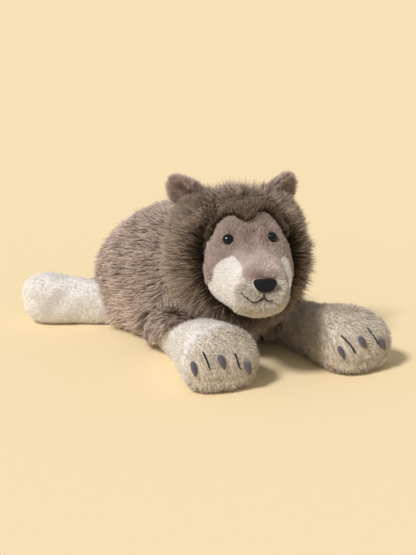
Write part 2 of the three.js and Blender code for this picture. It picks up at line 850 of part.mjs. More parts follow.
const wolf = new THREE.Group();
addBody(wolf);
const head = placedGroup(wolf, headPlace);
addNeck(head);
addHead(head);
addEyes(head);
addNoseAndMouth(head);
for (const name of Object.keys(sides)) {
  addEar(head, name);
  addForeleg(wolf, name);
  addHindleg(wolf, name);
}
addTail(wolf);

export default wolf;
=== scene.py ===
# A plush wolf lying on its belly: pile, stitching and eyes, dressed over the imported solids.
import json
import math

import bmesh
import bpy
import numpy as np
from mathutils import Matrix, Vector


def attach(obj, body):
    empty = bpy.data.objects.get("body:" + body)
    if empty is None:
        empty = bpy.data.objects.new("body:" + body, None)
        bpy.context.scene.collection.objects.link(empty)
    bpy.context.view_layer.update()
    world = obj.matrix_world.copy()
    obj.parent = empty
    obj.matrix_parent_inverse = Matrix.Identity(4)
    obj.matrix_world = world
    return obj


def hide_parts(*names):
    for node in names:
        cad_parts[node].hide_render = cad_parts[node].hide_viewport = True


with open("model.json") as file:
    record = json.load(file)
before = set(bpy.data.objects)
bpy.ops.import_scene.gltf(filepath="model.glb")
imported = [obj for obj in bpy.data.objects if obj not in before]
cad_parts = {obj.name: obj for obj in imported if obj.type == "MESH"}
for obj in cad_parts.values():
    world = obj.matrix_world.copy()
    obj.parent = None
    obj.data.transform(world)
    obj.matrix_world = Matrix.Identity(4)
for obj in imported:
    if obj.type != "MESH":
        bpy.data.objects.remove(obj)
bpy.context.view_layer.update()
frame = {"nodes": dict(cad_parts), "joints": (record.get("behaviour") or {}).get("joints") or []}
nodes = frame["nodes"]
joints = {joint["name"]: joint for joint in frame["joints"]}
sides = {"left": 1, "right": -1}
mm = 0.001
print("frame loaded,", len(nodes), "nodes")


# Places. Shapes are worked out in millimetres, each pointing along its own -Y, and then put in
# place in metres by a turn and a shift.

def unit(vectors):
    return vectors / np.maximum(np.linalg.norm(vectors, axis=-1, keepdims=True), 1e-9)


def turnAbout(axis, degrees):
    # identity + sin K + (1 - cos) K K, with K the cross-product matrix of the axis
    x, y, z = unit(np.array(axis, float))
    cross = np.array([[0, -z, y], [z, 0, -x], [-y, x, 0]])
    angle = math.radians(degrees)
    return np.eye(3) + math.sin(angle) * cross + (1 - math.cos(angle)) * cross @ cross


def placeAt(jointName, degrees):
    return {"at": np.array(joints[jointName]["pos_m"]), "axes": turnAbout((0, 0, 1), degrees)}


def intoPlace(points, place):
    return points * mm @ place["axes"].T + place["at"]


def outOfPlace(points, place):
    return (points - place["at"]) @ place["axes"] / mm


def nodePoints(name, place):
    # a CAD node's corners, in the millimetres of a place
    mesh = nodes[name].data
    flat = np.empty(len(mesh.vertices) * 3)
    mesh.vertices.foreach_get("co", flat)
    return outOfPlace(flat.reshape(-1, 3), place)


nodAxis = joints["head_nod"]["axis"]
shoulderTwist = -17  # degrees, the shoulders turned after the head
forelegTurns = {"left": 18, "right": 4}
hindlegTurns = {"left": 126, "right": 234}
floorPlace = {"at": np.zeros(3), "axes": np.eye(3)}
headPlace = placeAt("head_turn", math.degrees(math.atan2(nodAxis[1], nodAxis[0])))
forelegPlaces, hindlegPlaces = {}, {}
for name in sides:
    forelegPlaces[name] = placeAt("foreleg_" + name + "_swing", shoulderTwist + forelegTurns[name])
    hindlegPlaces[name] = placeAt("hindleg_" + name + "_swing", hindlegTurns[name])
tailPlace = placeAt("tail_swing", 180)


def earPlace(name):
    # along the hinge line, away from the head's middle, and backwards
    hinge = np.array(joints["ear_" + name + "_fold"]["pos_m"])
    across = unit(np.array(joints["ear_" + name + "_fold"]["axis"]))
    upward = unit(hinge - headPlace["at"])
    return {"at": hinge, "axes": np.stack([across, np.cross(upward, across), upward], axis=1)}


# Stuffed forms. Each list runs along the form and is read on a smooth curve through its values.

bodyForm = {
    "back": 124, "length": 256, "fullness": 2.3, "squareness": 2.2,
    "halfWidths": [84, 88, 88, 88, 86, 78, 64],
    "tops": [80, 120, 138, 145, 146, 128, 76],
    "middles": [44, 50, 56, 60, 54, 42, 34],
    "bottoms": [-62, -62],
}
faceForm = {
    "back": -18, "length": 104, "fullness": 3.4, "squareness": 2.2, "floats": True,
    "halfWidths": [46, 48, 47, 42, 36, 32, 28],
    "tops": [70, 69, 51, 30, 21, 17, 14],
    "middles": [2, 0, -4, -7, -9, -11, -12],
    "bottoms": [-42, -42, -41, -40, -39, -37, -34],
}
forelegForm = {
    "length": 163, "rounding": 34, "fullness": 3, "squareness": 2.4,
    "halfWidths": [25.5, 25.5, 26, 29, 36, 41, 41],
    "tops": [49, 49, 49, 54, 60, 61, 53],
    "middles": [24, 24],
    "bottoms": [-4, -4],
}
hindlegForm = {
    "length": 119, "rounding": 46, "fullness": 3.4, "squareness": 2.4,
    "halfWidths": [25.5, 25.5, 25.5, 26, 28, 30, 28],
    "tops": [50, 50, 50, 52, 56, 58, 56],
    "middles": [24, 24, 24, 28, 34],
    "bottoms": [-4, -4],
}
tailForm = {
    "length": 74, "rounding": 22, "fullness": 2, "squareness": 2,
    "halfWidths": [15, 15.5, 15, 13.5, 11],
    "tops": [30, 30.5, 29, 27, 23],
    "middles": [15, 15],
    "bottoms": [-4, -4],
}
headBall = {"radius": 74, "clearOfBody": 68, "clearOfLegs": 66}


def smoothList(values, share):
    # a cubic between each two values, with the slopes of their neighbours
    values = np.asarray(values, float)
    last = len(values) - 1
    place = np.clip(share, 0, 1) * last
    index = np.minimum(np.floor(place).astype(int), last - 1)
    t = place - index
    a, b, c, d = (values[np.clip(index + k, 0, last)] for k in (-1, 0, 1, 2))
    slopeB, slopeC = (c - a) / 2, (d - b) / 2
    cubic = 2 * b - 2 * c + slopeB + slopeC
    square = 3 * c - 3 * b - 2 * slopeB - slopeC
    return cubic * t**3 + square * t**2 + slopeB * t + b


def bulge(value, squareness):
    # a sine or cosine drawn out from a circle's to a squared ellipse's
    return np.sign(value) * np.abs(value) ** (2 / squareness)


def ease(value, low, high):
    # 0 below low, 1 above high, with a smooth step between
    t = np.clip((value - low) / (high - low), 0, 1)
    return t * t * (3 - 2 * t)


def sectionAt(form, share, inset):
    # how much of its section the form keeps at a share of its length, and the section's reaches
    rounding = form.get("rounding", 0)
    start = 1 - rounding / form["length"]
    into = np.maximum(0, (share - start) / (1 - start)) if rounding else np.abs(2 * share - 1)
    scale = np.maximum(0, 1 - into ** form["fullness"]) ** (1 / form["fullness"])
    middle = smoothList(form["middles"], share)
    halfWidth = (smoothList(form["halfWidths"], share) - inset) * scale
    rise = (smoothList(form["tops"], share) - inset - middle) * scale
    drop = (middle - smoothList(form["bottoms"], share) - inset) * scale
    return middle, halfWidth, rise, drop


def formPoint(form, share, turn, inset):
    # a squared ellipse across, carried along -Y; on a limb a share below 0 turns its first
    # section about the upright axis of its joint, a quarter turn at -1
    behind = np.clip(-share, 0, 1) * math.pi / 2
    share = np.clip(share, 0, 1)
    middle, halfWidth, rise, drop = sectionAt(form, share, inset)
    side = bulge(-np.cos(turn), form["squareness"]) * halfWidth
    height = bulge(np.sin(turn), form["squareness"])
    z = middle + height * np.where(height > 0, rise, drop)
    if form.get("rounding"):
        y = -share * (form["length"] - inset) + np.abs(side) * np.sin(behind)
    else:
        y = form["back"] - inset - share * (form["length"] - 2 * inset)
    x = side * np.cos(behind)
    if not form.get("floats"):
        z = np.maximum(z, min(inset, 1.0))  # flat where it lies on the floor
    return np.stack(np.broadcast_arrays(x, y, z), axis=-1)


def sectionSum(form, share, across, z, inset=0.0):
    # the squared ellipse's sum at a share of the form's length, below 1 inside its section
    middle, halfWidth, rise, drop = sectionAt(form, share, inset)
    reach = np.where(z > middle, rise, drop)
    power = form["squareness"]
    beside = (across / np.maximum(halfWidth, 1e-6)) ** power
    return beside + (np.abs(z - middle) / np.maximum(reach, 1e-6)) ** power


def insideForm(form, points):
    # true for points in the form; a limb's root is its first section turned about its joint
    x, y, z = points[..., 0], points[..., 1], points[..., 2]
    share = (form.get("back", 0) - y) / form["length"]
    across = np.where((share < 0) & bool(form.get("rounding")), np.hypot(x, y), np.abs(x))
    limits = share < 1 if form.get("rounding") else (share > 0) & (share < 1)
    return limits & (sectionSum(form, np.clip(share, 0, 1), across, z) < 1)


def frontOf(form, x, z, inset=0.0, lowest=0.25):
    # how far forward the form's surface lies, seen from the front: the last share still inside
    share = np.linspace(lowest, 1, 600).reshape(-1, *[1] * np.ndim(x))
    inside = sectionSum(form, share, np.abs(x), z, inset) < 1
    found = np.where(inside, share, lowest).max(axis=0)
    return found * (form["length"] - inset) - form.get("back", 0)


def onFront(form, x, z):
    # the points of the form's surface that lie behind x and z, seen from the front
    x, z = np.broadcast_arrays(np.asarray(x, float), np.asarray(z, float))
    return np.stack([x, -frontOf(form, x, z), z], axis=-1)


def waves(points, length, seed, count=3):
    # a smooth random field: for each value, the mean of eight sines along random directions
    rng = np.random.default_rng(seed)
    total = np.zeros(points.shape[:-1] + (count,))
    for _ in range(8):
        direction = unit(rng.normal(size=(3, count))) * (2 * math.pi / length) * rng.uniform(0.6, 1.6)
        total += np.sin(points @ direction + rng.uniform(0, 2 * math.pi, count))
    return total / 4


def ripple(points, length, seed):
    # one such value alone
    return waves(points, length, seed, 1)[..., 0]


def fullTurn(count):
    # angles evenly spread round a circle
    return np.linspace(0, 2 * math.pi, count, endpoint=False)


lumpLength = 55  # about how far apart the soft lumps lie


def formGrid(form, look, seed=1):
    # shares bunched towards both ends; a limb's grid starts behind its joint; soft lumps on top
    if form.get("rounding"):
        behind = -np.cos(np.linspace(0, math.pi / 2, 7))[:-1]
        start = 1 - form["rounding"] / form["length"]
        straight = np.linspace(0, start, look["rows"] // 2)[:-1]
        rounded = start + (1 - start) * np.sin(np.linspace(0, math.pi / 2, look["rows"] // 2))
        share = np.concatenate([behind, straight, rounded])
    else:
        share = (1 - np.cos(np.linspace(0, math.pi, look["rows"]))) / 2
    points = formPoint(form, share[:, None], fullTurn(look["around"])[None, :], look["inset"])
    soft = ripple(points, lumpLength, seed) * look["lump"] * np.clip(points[..., 2] / 12, 0, 1)
    outward = unit(points - points.mean(axis=1, keepdims=True))
    return points + outward * soft[..., None] * np.sin(math.pi * np.clip(share, 0, 1))[:, None, None]


# Meshes

def finishMesh(piece, body, materials, replaced=(), smoothShaded=True):
    bpy.context.scene.collection.objects.link(piece)
    if smoothShaded:
        piece.data.shade_smooth()
    for material in materials:
        piece.data.materials.append(material)
    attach(piece, body)
    if replaced:
        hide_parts(*replaced)


def gridCells(points):
    # the four corners of each cell between rows of points, each row a closed ring
    index = np.arange(points.shape[0] * points.shape[1]).reshape(points.shape[:2])
    near, far = index[:-1], index[1:]
    return np.stack([near, np.roll(near, -1, 1), np.roll(far, -1, 1), far], axis=-1).reshape(-1, 4)


def gridMesh(name, points, closedEnds=True):
    # rows that shrink to a point or a fold are merged
    mesh = bpy.data.meshes.new(name)
    mesh.from_pydata(points.reshape(-1, 3), [], gridCells(points).tolist())
    work = bmesh.new()
    work.from_mesh(mesh)
    bmesh.ops.remove_doubles(work, verts=work.verts, dist=1e-6)
    if not closedEnds:
        bmesh.ops.holes_fill(work, edges=work.edges, sides=points.shape[1])
    bmesh.ops.recalc_face_normals(work, faces=work.faces)
    work.to_mesh(mesh)
    work.free()
    return bpy.data.objects.new(name, mesh)


def makeSkin(name, coat, backs, replaced, closedEnds=True):
    # a stuffed skin, which takes the place of its solid covers
    skin = gridMesh(name, intoPlace(coat["grid"], coat["place"]), closedEnds)
    finishMesh(skin, coat["body"], [backMaterials[back] for back in backs], replaced)
    return skin


def paintZones(skin, place, zoneOf):
    # each face takes the material of the zone in which its middle lies
    centres = np.empty(len(skin.data.polygons) * 3)
    skin.data.polygons.foreach_get("center", centres)
    zones = zoneOf(outOfPlace(centres.reshape(-1, 3), place))
    skin.data.polygons.foreach_set("material_index", zones.astype(np.int32))


def lengthsAlong(path):
    return np.concatenate([[0], np.cumsum(np.linalg.norm(np.diff(path, axis=0), axis=1))])


threadLook = {"around": 10, "plies": 3, "pitch": 2.4, "swell": 0.14}


def threadMesh(name, path, place, radius):
    # a ring square to the path at each point, with ends drawn in, swelling where a ply passes
    path, radius = intoPlace(path, place), radius * mm
    ahead = unit(np.gradient(path, axis=0))
    lengths = lengthsAlong(path)
    sideways = unit(np.cross(ahead, unit(np.array([0.31, 0.2, 0.93]))))
    upward = np.cross(sideways, ahead)
    turn = fullTurn(threadLook["around"])
    ends = np.sqrt(np.clip(np.minimum(lengths, lengths[-1] - lengths) / radius, 0, 1) * 0.98 + 0.02)
    ends[[0, -1]] = 0
    plies = threadLook["plies"]
    twist = 2 * math.pi * lengths[:, None] / (plies * (threadLook["pitch"] * mm))
    size = radius * ends[:, None] * (1 + threadLook["swell"] * np.cos(plies * (turn[None, :] + twist)))
    ring = np.cos(turn)[None, :, None] * sideways[:, None] + np.sin(turn)[None, :, None] * upward[:, None]
    return gridMesh(name, path[:, None] + ring * size[..., None])


def resample(points, count):
    # evenly spaced points on the smooth curve through a few
    share = np.linspace(0, 1, 40 * len(points))
    fine = np.stack([smoothList(points[:, k], share) for k in range(3)], axis=-1)
    lengths = lengthsAlong(fine)
    even = np.linspace(0, lengths[-1], count)
    return np.stack([np.interp(even, lengths, fine[:, k]) for k in range(3)], axis=-1)


# Pile. Roots are scattered on a skin, and each strand is a narrow tapering blade whose pile map
# holds its tone across and its height along, so that colour depends on those two alone.

plainPile = {"steps": 2, "swirl": 0.25, "curl": 0, "turned": 0.75, "shade": 0, "toneSpread": 0.16}
strandLook = {  # of every pile: how strands waver in direction, length and tuft, lie and are lifted
    "swirlLength": 34, "lengths": (0.72, 1.12), "swing": 0.16, "swingLength": 26, "wander": 0.35,
    "lying": (0.3, 1.6), "lift": 0.8,
}
strandTapers = {2: (1.0, 0.75), 3: (1.0, 0.95, 0.72)}  # for each number of steps


def mottled(level, swing, length, seed):
    # a tone that wavers about a level
    return lambda roots: level + swing * ripple(roots, length, seed)


def scatter(points, pile, rng):
    # roots and normals, as many for each area as its weight says: a count in all, or a density
    cells = gridCells(points)
    corners = np.concatenate([cells[:, [0, 1, 2]], cells[:, [0, 2, 3]]])
    flat = points.reshape(-1, 3)
    a, b, c = (flat[corners[:, k]] for k in range(3))
    cross = np.cross(b - a, c - a)
    area = np.linalg.norm(cross, axis=1) / 2
    normals = np.zeros_like(flat)
    for k in range(3):
        np.add.at(normals, corners[:, k], cross)
    if np.sum(unit(normals) * (flat - flat.mean(axis=0))) < 0:
        normals = -normals
    normals = unit(normals)
    chance = area * np.clip(pile["where"]((a + b + c) / 3), 0, None)
    count = pile["count"] if "count" in pile else round(pile["density"] * chance.sum())
    chosen = rng.choice(len(corners), size=count, p=chance / chance.sum())
    first, second = rng.random((2, count))
    over = first + second > 1
    first[over], second[over] = 1 - first[over], 1 - second[over]
    shares = np.stack([1 - first - second, first, second], axis=-1)[..., None]
    roots = (flat[corners[chosen]] * shares).sum(axis=1)
    return roots, unit((normals[corners[chosen]] * shares).sum(axis=1))


def combed(roots, normals, pile, rng):
    # each strand leaves the skin at its first rise and bends to its last one, the way it is
    # combed: root + length * (first (t - t t / 2) + last t t / 2), then drawn to its tuft's tip
    count, seed, tuft = len(roots), pile["seed"], pile["tuft"]
    comb = pile["comb"](roots) + pile["swirl"] * waves(roots, strandLook["swirlLength"], seed + 11)
    comb = unit(comb - (comb * normals).sum(-1, keepdims=True) * normals)
    jitter = rng.normal(size=(count, 3)) * pile["spread"]
    rise, lastRise = pile["rises"]
    first = unit(normals * rise + comb * (1 - rise) + 0.5 * jitter)
    last = unit(normals * lastRise + comb * (1 - lastRise) + jitter)
    swing = 1 + strandLook["swing"] * ripple(roots, strandLook["swingLength"], seed + 5)
    length = pile["length"] * rng.uniform(*strandLook["lengths"], count) * swing
    if "trim" in pile:
        length = length * pile["trim"](roots)
    t = np.linspace(0, 1, pile["steps"] + 1)[:, None, None]
    points = roots + length[:, None] * (first * (t - t * t / 2) + last * (t * t / 2))
    if pile["curl"]:
        across = unit(np.cross(normals, comb + 0.01))
        phase = rng.uniform(0, 2 * math.pi, (count, 1)) + 5 * t
        points = points + pile["curl"] * t * (across * np.sin(phase) + normals * 0.6 * np.cos(phase))
    cells = np.floor((roots + strandLook["wander"] * tuft * waves(roots, 3 * tuft, seed + 2)) / tuft)
    group = np.unique(cells, axis=0, return_inverse=True)[1].reshape(-1)
    members = np.bincount(group)[:, None]
    centre = np.stack([np.bincount(group, points[-1][:, k]) for k in range(3)], axis=-1) / members
    return points + pile["tufting"] * t * t * (centre[group] - points[-1])


def bladeMesh(name, points, normals, width, tone, turned, rng):
    # two corners at each step across the strand and one at its tip; the face of the blade is
    # turned towards the skin's normal, give or take a random angle
    steps, count = points.shape[0] - 1, points.shape[1]
    ahead = unit(points[-1] - points[0])
    across = unit(np.cross(ahead, normals) + 1e-6)
    face = unit(np.cross(across, ahead))
    twist = rng.normal(0, turned, count)[:, None]
    across = across * np.cos(twist) + face * np.sin(twist)
    widths = width * rng.uniform(0.7, 1.3, count)[:, None]
    rows = []
    for point, taper in zip(points, strandTapers[steps]):
        rows += [point - across * widths * taper / 2, point + across * widths * taper / 2]
    rows.append(points[-1])
    corners = np.stack(rows, axis=1)
    perStrand = 2 * steps + 1
    base = np.arange(count)[:, None] * perStrand
    loops = [base + np.array([2 * k, 2 * k + 1, 2 * k + 3, 2 * k + 2]) for k in range(steps - 1)]
    loops.append(base + np.array([2 * steps - 2, 2 * steps - 1, 2 * steps]))
    loops = np.concatenate(loops, axis=1).astype(np.int32)
    starts = np.arange(count)[:, None] * loops.shape[1] + 4 * np.arange(steps)
    mesh = bpy.data.meshes.new(name)
    mesh.vertices.add(count * perStrand)
    mesh.vertices.foreach_set("co", corners.astype(np.float32).ravel())
    mesh.loops.add(loops.size)
    mesh.loops.foreach_set("vertex_index", loops.ravel())
    mesh.polygons.add(starts.size)
    mesh.polygons.foreach_set("loop_start", starts.astype(np.int32).ravel())
    mesh.update(calc_edges=True)
    half = 0.006  # half a strand's breadth on the pile map
    edge = np.array([-half, half] * steps + [0.0])
    height = np.append(np.repeat(np.arange(steps) / steps, 2), 1.0)
    u = np.clip(tone, 2 * half, 1 - 2 * half)[:, None] + edge
    v = np.broadcast_to(0.01 + 0.98 * height, u.shape)
    uv = np.stack([u, v], axis=-1).reshape(-1, 2)[loops.ravel()]
    pileMap = mesh.uv_layers.new(name="OFBake")
    pileMap.data.foreach_set("uv", uv.astype(np.float32).ravel())
    return bpy.data.objects.new(name, mesh)


def growPile(name, coat, slotName, material, pile):
    pile = {**plainPile, **pile}
    rng = np.random.default_rng(pile["seed"])
    roots, normals = scatter(coat["grid"], pile, rng)
    points = combed(roots, normals, pile, rng)
    if "keep" in pile:
        kept = pile["keep"](points)
        points, roots, normals = points[:, kept], roots[kept], normals[kept]
    tone = pile["tone"](roots) + pile["shade"] + rng.normal(0, pile["toneSpread"], len(roots))
    world = intoPlace(points, coat["place"])
    if pile.get("overLimbs"):
        world[1:] = overLimbs(world)[1:]
    lowest = rng.uniform(*strandLook["lying"], len(roots)) * mm
    world[..., 2] = np.maximum(world[..., 2], lowest)  # what would pass the floor lies on it
    upright = normals @ coat["place"]["axes"].T
    piece = bladeMesh(name, world, upright, pile["width"] * mm, tone, pile["turned"], rng)
    finishMesh(piece, coat["body"], [pileMaterials[material]], smoothShaded=False)


# Materials

def newMaterial(name, colour, roughness, **values):
    # the material, its node tree and its shader's sockets
    material = bpy.data.materials.new(name)
    material.use_nodes = True
    surface = material.node_tree.nodes["Principled BSDF"].inputs
    for socket, value in dict(values, Base_Color=(*colour, 1), Roughness=roughness).items():
        surface[socket.replace("_", " ")].default_value = value
    return material, material.node_tree, surface


def add(tree, kind, **settings):
    node = tree.nodes.new(kind)
    for name, value in settings.items():
        if name in node.inputs:
            node.inputs[name].default_value = value
        else:
            setattr(node, name, value)
    return node


def wire(tree, *pairs):
    for source, target in pairs:
        tree.links.new(source, target)


def ramp(tree, stops):
    node = tree.nodes.new("ShaderNodeValToRGB")
    elements = node.color_ramp.elements
    while len(elements) < len(stops):
        elements.new(0.5)
    for element, (position, colour) in zip(elements, stops):
        element.position = position
        element.color = (*colour, 1)
    return node


def pileMaterial(name, deep, pale):
    # two ramps from root to tip, for the darkest and the palest strands, mixed by the tone
    material, tree, surface = newMaterial(name, pale[-1][1], 0.85, Specular_IOR_Level=0.2)
    uv = add(tree, "ShaderNodeUVMap", uv_map="OFBake")
    split = add(tree, "ShaderNodeSeparateXYZ")
    deepRamp, paleRamp = ramp(tree, deep), ramp(tree, pale)
    mix = add(tree, "ShaderNodeMix", data_type="RGBA")
    wire(
        tree, (uv.outputs["UV"], split.inputs[0]), (split.outputs["X"], mix.inputs["Factor"]),
        (split.outputs["Y"], deepRamp.inputs[0]), (split.outputs["Y"], paleRamp.inputs[0]),
        (deepRamp.outputs["Color"], mix.inputs[6]), (paleRamp.outputs["Color"], mix.inputs[7]),
        (mix.outputs[2], surface["Base Color"]),
    )
    return material


def mottledGroup():
    # shared by the backings: a colour mottled between two, and a nap to stand as bump
    group = bpy.data.node_groups.new("mottledNap", "ShaderNodeTree")
    for name, way, kind in (
        ("Dark", "INPUT", "Color"), ("Light", "INPUT", "Color"), ("Scale", "INPUT", "Float"),
        ("Color", "OUTPUT", "Color"), ("Height", "OUTPUT", "Float"),
    ):
        group.interface.new_socket(name=name, in_out=way, socket_type="NodeSocket" + kind)
    given, result = group.nodes.new("NodeGroupInput").outputs, group.nodes.new("NodeGroupOutput").inputs
    place = group.nodes.new("ShaderNodeTexCoord").outputs["Object"]
    coarse = add(group, "ShaderNodeTexNoise", Detail=4.0, Roughness=0.6)
    fine = add(group, "ShaderNodeTexNoise", Scale=1400.0, Detail=3.0)
    mix = add(group, "ShaderNodeMix", data_type="RGBA")
    wire(
        group, (place, coarse.inputs["Vector"]), (place, fine.inputs["Vector"]),
        (given["Scale"], coarse.inputs["Scale"]), (coarse.outputs[0], mix.inputs["Factor"]),
        (given["Dark"], mix.inputs[6]), (given["Light"], mix.inputs[7]),
        (mix.outputs[2], result["Color"]), (fine.outputs[0], result["Height"]),
    )
    return group


napGroup = mottledGroup()


def backingMaterial(name, dark, light, scale=90.0, roughness=0.95, bump=0.5):
    material, tree, surface = newMaterial(name, light, roughness, Specular_IOR_Level=0.15)
    nap = tree.nodes.new("ShaderNodeGroup")
    nap.node_tree = napGroup
    for socket, value in (("Dark", (*dark, 1)), ("Light", (*light, 1)), ("Scale", scale)):
        nap.inputs[socket].default_value = value
    raised = add(tree, "ShaderNodeBump", Strength=bump, Distance=0.0008)
    wire(
        tree, (nap.outputs["Color"], surface["Base Color"]),
        (nap.outputs["Height"], raised.inputs["Height"]), (raised.outputs["Normal"], surface["Normal"]),
    )
    return material


backColours = {
    "brown": [(0.030, 0.020, 0.014), (0.075, 0.052, 0.040)],
    "mauve": [(0.20, 0.135, 0.11), (0.32, 0.23, 0.19)],
    "rose": [(0.34, 0.255, 0.22), (0.46, 0.355, 0.31)],
    "cream": [(0.85, 0.81, 0.765), (0.925, 0.89, 0.85)],
    "beige": [(0.68, 0.60, 0.49), (0.84, 0.76, 0.65)],
    "cheek": [(0.67, 0.625, 0.565), (0.75, 0.705, 0.645)],
    # the muzzle's sand, darker than the paws': partly painted shade under the chin
    "muzzle": [(0.44, 0.38, 0.30), (0.56, 0.49, 0.40)],
}
backMaterials = {name: backingMaterial(name + "_backing", *pair) for name, pair in backColours.items()}
pileMaterials = {
    "body": pileMaterial(
        "long_brown_pile",
        [(0.0, (0.045, 0.031, 0.021)), (0.55, (0.14, 0.10, 0.072)), (1.0, (0.30, 0.215, 0.165))],
        [(0.0, (0.10, 0.070, 0.052)), (0.4, (0.42, 0.315, 0.25)), (1.0, (0.86, 0.69, 0.59))],
    ),
    "mane": pileMaterial(
        "mane_pile",
        [(0.0, (0.012, 0.009, 0.006)), (0.5, (0.040, 0.027, 0.013)), (1.0, (0.15, 0.10, 0.06))],
        [(0.0, (0.035, 0.024, 0.013)), (0.5, (0.17, 0.118, 0.068)), (1.0, (0.80, 0.63, 0.52))],
    ),
}
plainColours = {
    # each from root to tip: the darkest strands, then the palest
    "face": (
        "short_mauve_pile", (0.22, 0.155, 0.13), (0.36, 0.265, 0.225), (0.46, 0.35, 0.305), (0.86, 0.71, 0.64)
    ),
    "cream": ("cream_pile", (0.80, 0.75, 0.69), (0.92, 0.88, 0.83), (0.92, 0.89, 0.85), (0.98, 0.96, 0.93)),
    # the muzzle's sandy pile, darker than the paws': partly painted shade under the chin
    "beige": ("beige_pile", (0.36, 0.29, 0.21), (0.66, 0.57, 0.46), (0.66, 0.58, 0.48), (0.98, 0.92, 0.84)),
    "paw": ("curly_paw_pile", (0.42, 0.34, 0.25), (0.78, 0.69, 0.57), (0.76, 0.68, 0.57), (0.99, 0.95, 0.88)),
    "lining": (
        "lining_pile", (0.12, 0.085, 0.07), (0.24, 0.175, 0.145), (0.30, 0.22, 0.185), (0.74, 0.58, 0.50)
    ),
}
for kind, (name, *stops) in plainColours.items():
    root, tip, paleRoot, paleTip = stops
    pileMaterials[kind] = pileMaterial(name, [(0.0, root), (1.0, tip)], [(0.0, paleRoot), (1.0, paleTip)])
print("materials made")


# Where strands would pass through another stuffed form

limbs = [(forelegForm, place) for place in forelegPlaces.values()]
limbs += [(hindlegForm, place) for place in hindlegPlaces.values()]
limbs += [(tailForm, tailPlace)]


def inForms(world, forms):
    return np.any([insideForm(form, outOfPlace(world, place)) for form, place in forms], axis=0)


def growsOut(points, place, forms):
    # true for a strand that starts inside the forms and ends outside them
    return inForms(intoPlace(points[0], place), forms) & ~inForms(intoPlace(points[-1], place), forms)


def overLimbs(world):
    # a strand that would pass into a limb is lifted on to it: up to its superellipse's top there
    for form, place in limbs:
        local = outOfPlace(world, place)
        share = np.clip(-local[..., 1] / form["length"], 0, 1)
        middle, halfWidth, rise, _ = sectionAt(form, share, 0)
        across = np.clip(np.abs(local[..., 0]) / np.maximum(halfWidth, 1e-6), 0, 1)
        top = middle + rise * (1 - across ** form["squareness"]) ** (1 / form["squareness"])
        lifted = np.maximum(local[..., 2], top + strandLook["lift"])
        local[..., 2] = np.where(insideForm(form, local), lifted, local[..., 2])
        world = intoPlace(local, place)
    return world


def inHead(world, radius):
    return np.linalg.norm(world - headPlace["at"], axis=-1) < radius * mm


# Body

bodySkin = {
    "inset": 9, "rows": 56, "around": 96, "lump": 1.6,
    "seamHeight": 15, "chestHeight": 48, "chestForward": 94, "seamClimb": (88, 100),
}
bellyPad = {
    "rows": 48, "around": 48, "start": 0.12, "end": 0.05, "under": 0.6, "highest": 0.98,
    "half": 0.8, "lowest": {"outer": 0.3, "inner": 1.4},
}
bodyPile = {
    "count": 45000, "width": 1.0, "rises": (0.6, 0.2), "spread": 0.18, "tuft": 6.0, "tufting": 0.35,
    "toneSpread": 0.14,
}
bodyLayers = [
    {**bodyPile, "length": 15, "shade": -0.26, "seed": 3},
    {**bodyPile, "length": 16, "shade": -0.20, "seed": 43},
    {"count": 36000, "length": 21, "width": 0.85, "steps": 3, "rises": (0.6, 0.24), "spread": 0.22,
     "tuft": 5.0, "tufting": 0.5, "shade": 0.22, "toneSpread": 0.24, "seed": 83},
]
shoulderLook = {
    "halfWidth": 42, "ahead": 85, "lowest": 34, "highest": 86, "lengths": {"left": 20, "right": 34},
}


def bodyComb(roots):
    # backwards and down, and on the chest downwards and apart
    chest = ease(-roots[:, 1], 40, 95)[:, None]
    back = np.array([0.0, 1.0, -0.32]) + roots * np.array([0.004, 0, 0])
    front = roots * np.array([0.02, 0, 0]) + np.array([0, -0.25, -1.0])
    return back * (1 - chest) + front * chest


def isPale(points):
    # the belly panel and, at the front, the chest
    chest = (points[..., 1] < -bodySkin["chestForward"]) & (points[..., 2] < bodySkin["chestHeight"])
    return chest | (points[..., 2] < bodySkin["seamHeight"])


def bodyWhere(points):
    # none where it is pale, and thinner low down
    return np.where(isPale(points), 0.0, 0.35 + 0.65 * ease(points[:, 2], 8, 30))


def bodyTrim(roots):
    # shorter at the front, longer low down
    return 1 - 0.15 * ease(-roots[:, 1], 60, 120) + 0.35 * (1 - ease(roots[:, 2], 25, 60))


def bodyTone(roots):
    # palest low down
    return 0.5 + 0.14 * ripple(roots, 70, 17) + 0.45 * (1 - ease(roots[:, 2], 15, 75))


def bodyKeep(points):
    # strands that neither grow out of a limb nor start in the head
    return ~growsOut(points, floorPlace, limbs) & ~inHead(points[0] * mm, headBall["clearOfBody"])


def bellyGrid():
    # the lower part of each ring, up to the seam, as a thin pad: its outer wall, then its inner
    along = np.linspace(bellyPad["start"], math.pi - bellyPad["end"], bellyPad["rows"])
    share = (1 - np.cos(along)) / 2
    middle, _, rise, drop = sectionAt(bodyForm, share, bodySkin["inset"] - bellyPad["under"])
    front = ease(share * bodyForm["length"] - bodyForm["back"], *bodySkin["seamClimb"])
    seam = bodySkin["seamHeight"] + (bodySkin["chestHeight"] - bodySkin["seamHeight"]) * front
    height = np.clip((seam - middle) / np.where(seam > middle, rise, drop), -1, bellyPad["highest"])
    edge = np.arcsin(np.sign(height) * np.abs(height) ** (bodyForm["squareness"] / 2))[:, None]
    walls = []
    for wall, way in (("outer", 1), ("inner", -1)):
        sweep = np.linspace(0, 1, bellyPad["around"])[::way]
        inset = bodySkin["inset"] - way * bellyPad["half"]
        points = formPoint(bodyForm, share[:, None], math.pi - edge + (math.pi + 2 * edge) * sweep, inset)
        points[..., 2] = np.maximum(points[..., 2], bellyPad["lowest"][wall])
        walls.append(points)
    return np.concatenate(walls, axis=1)


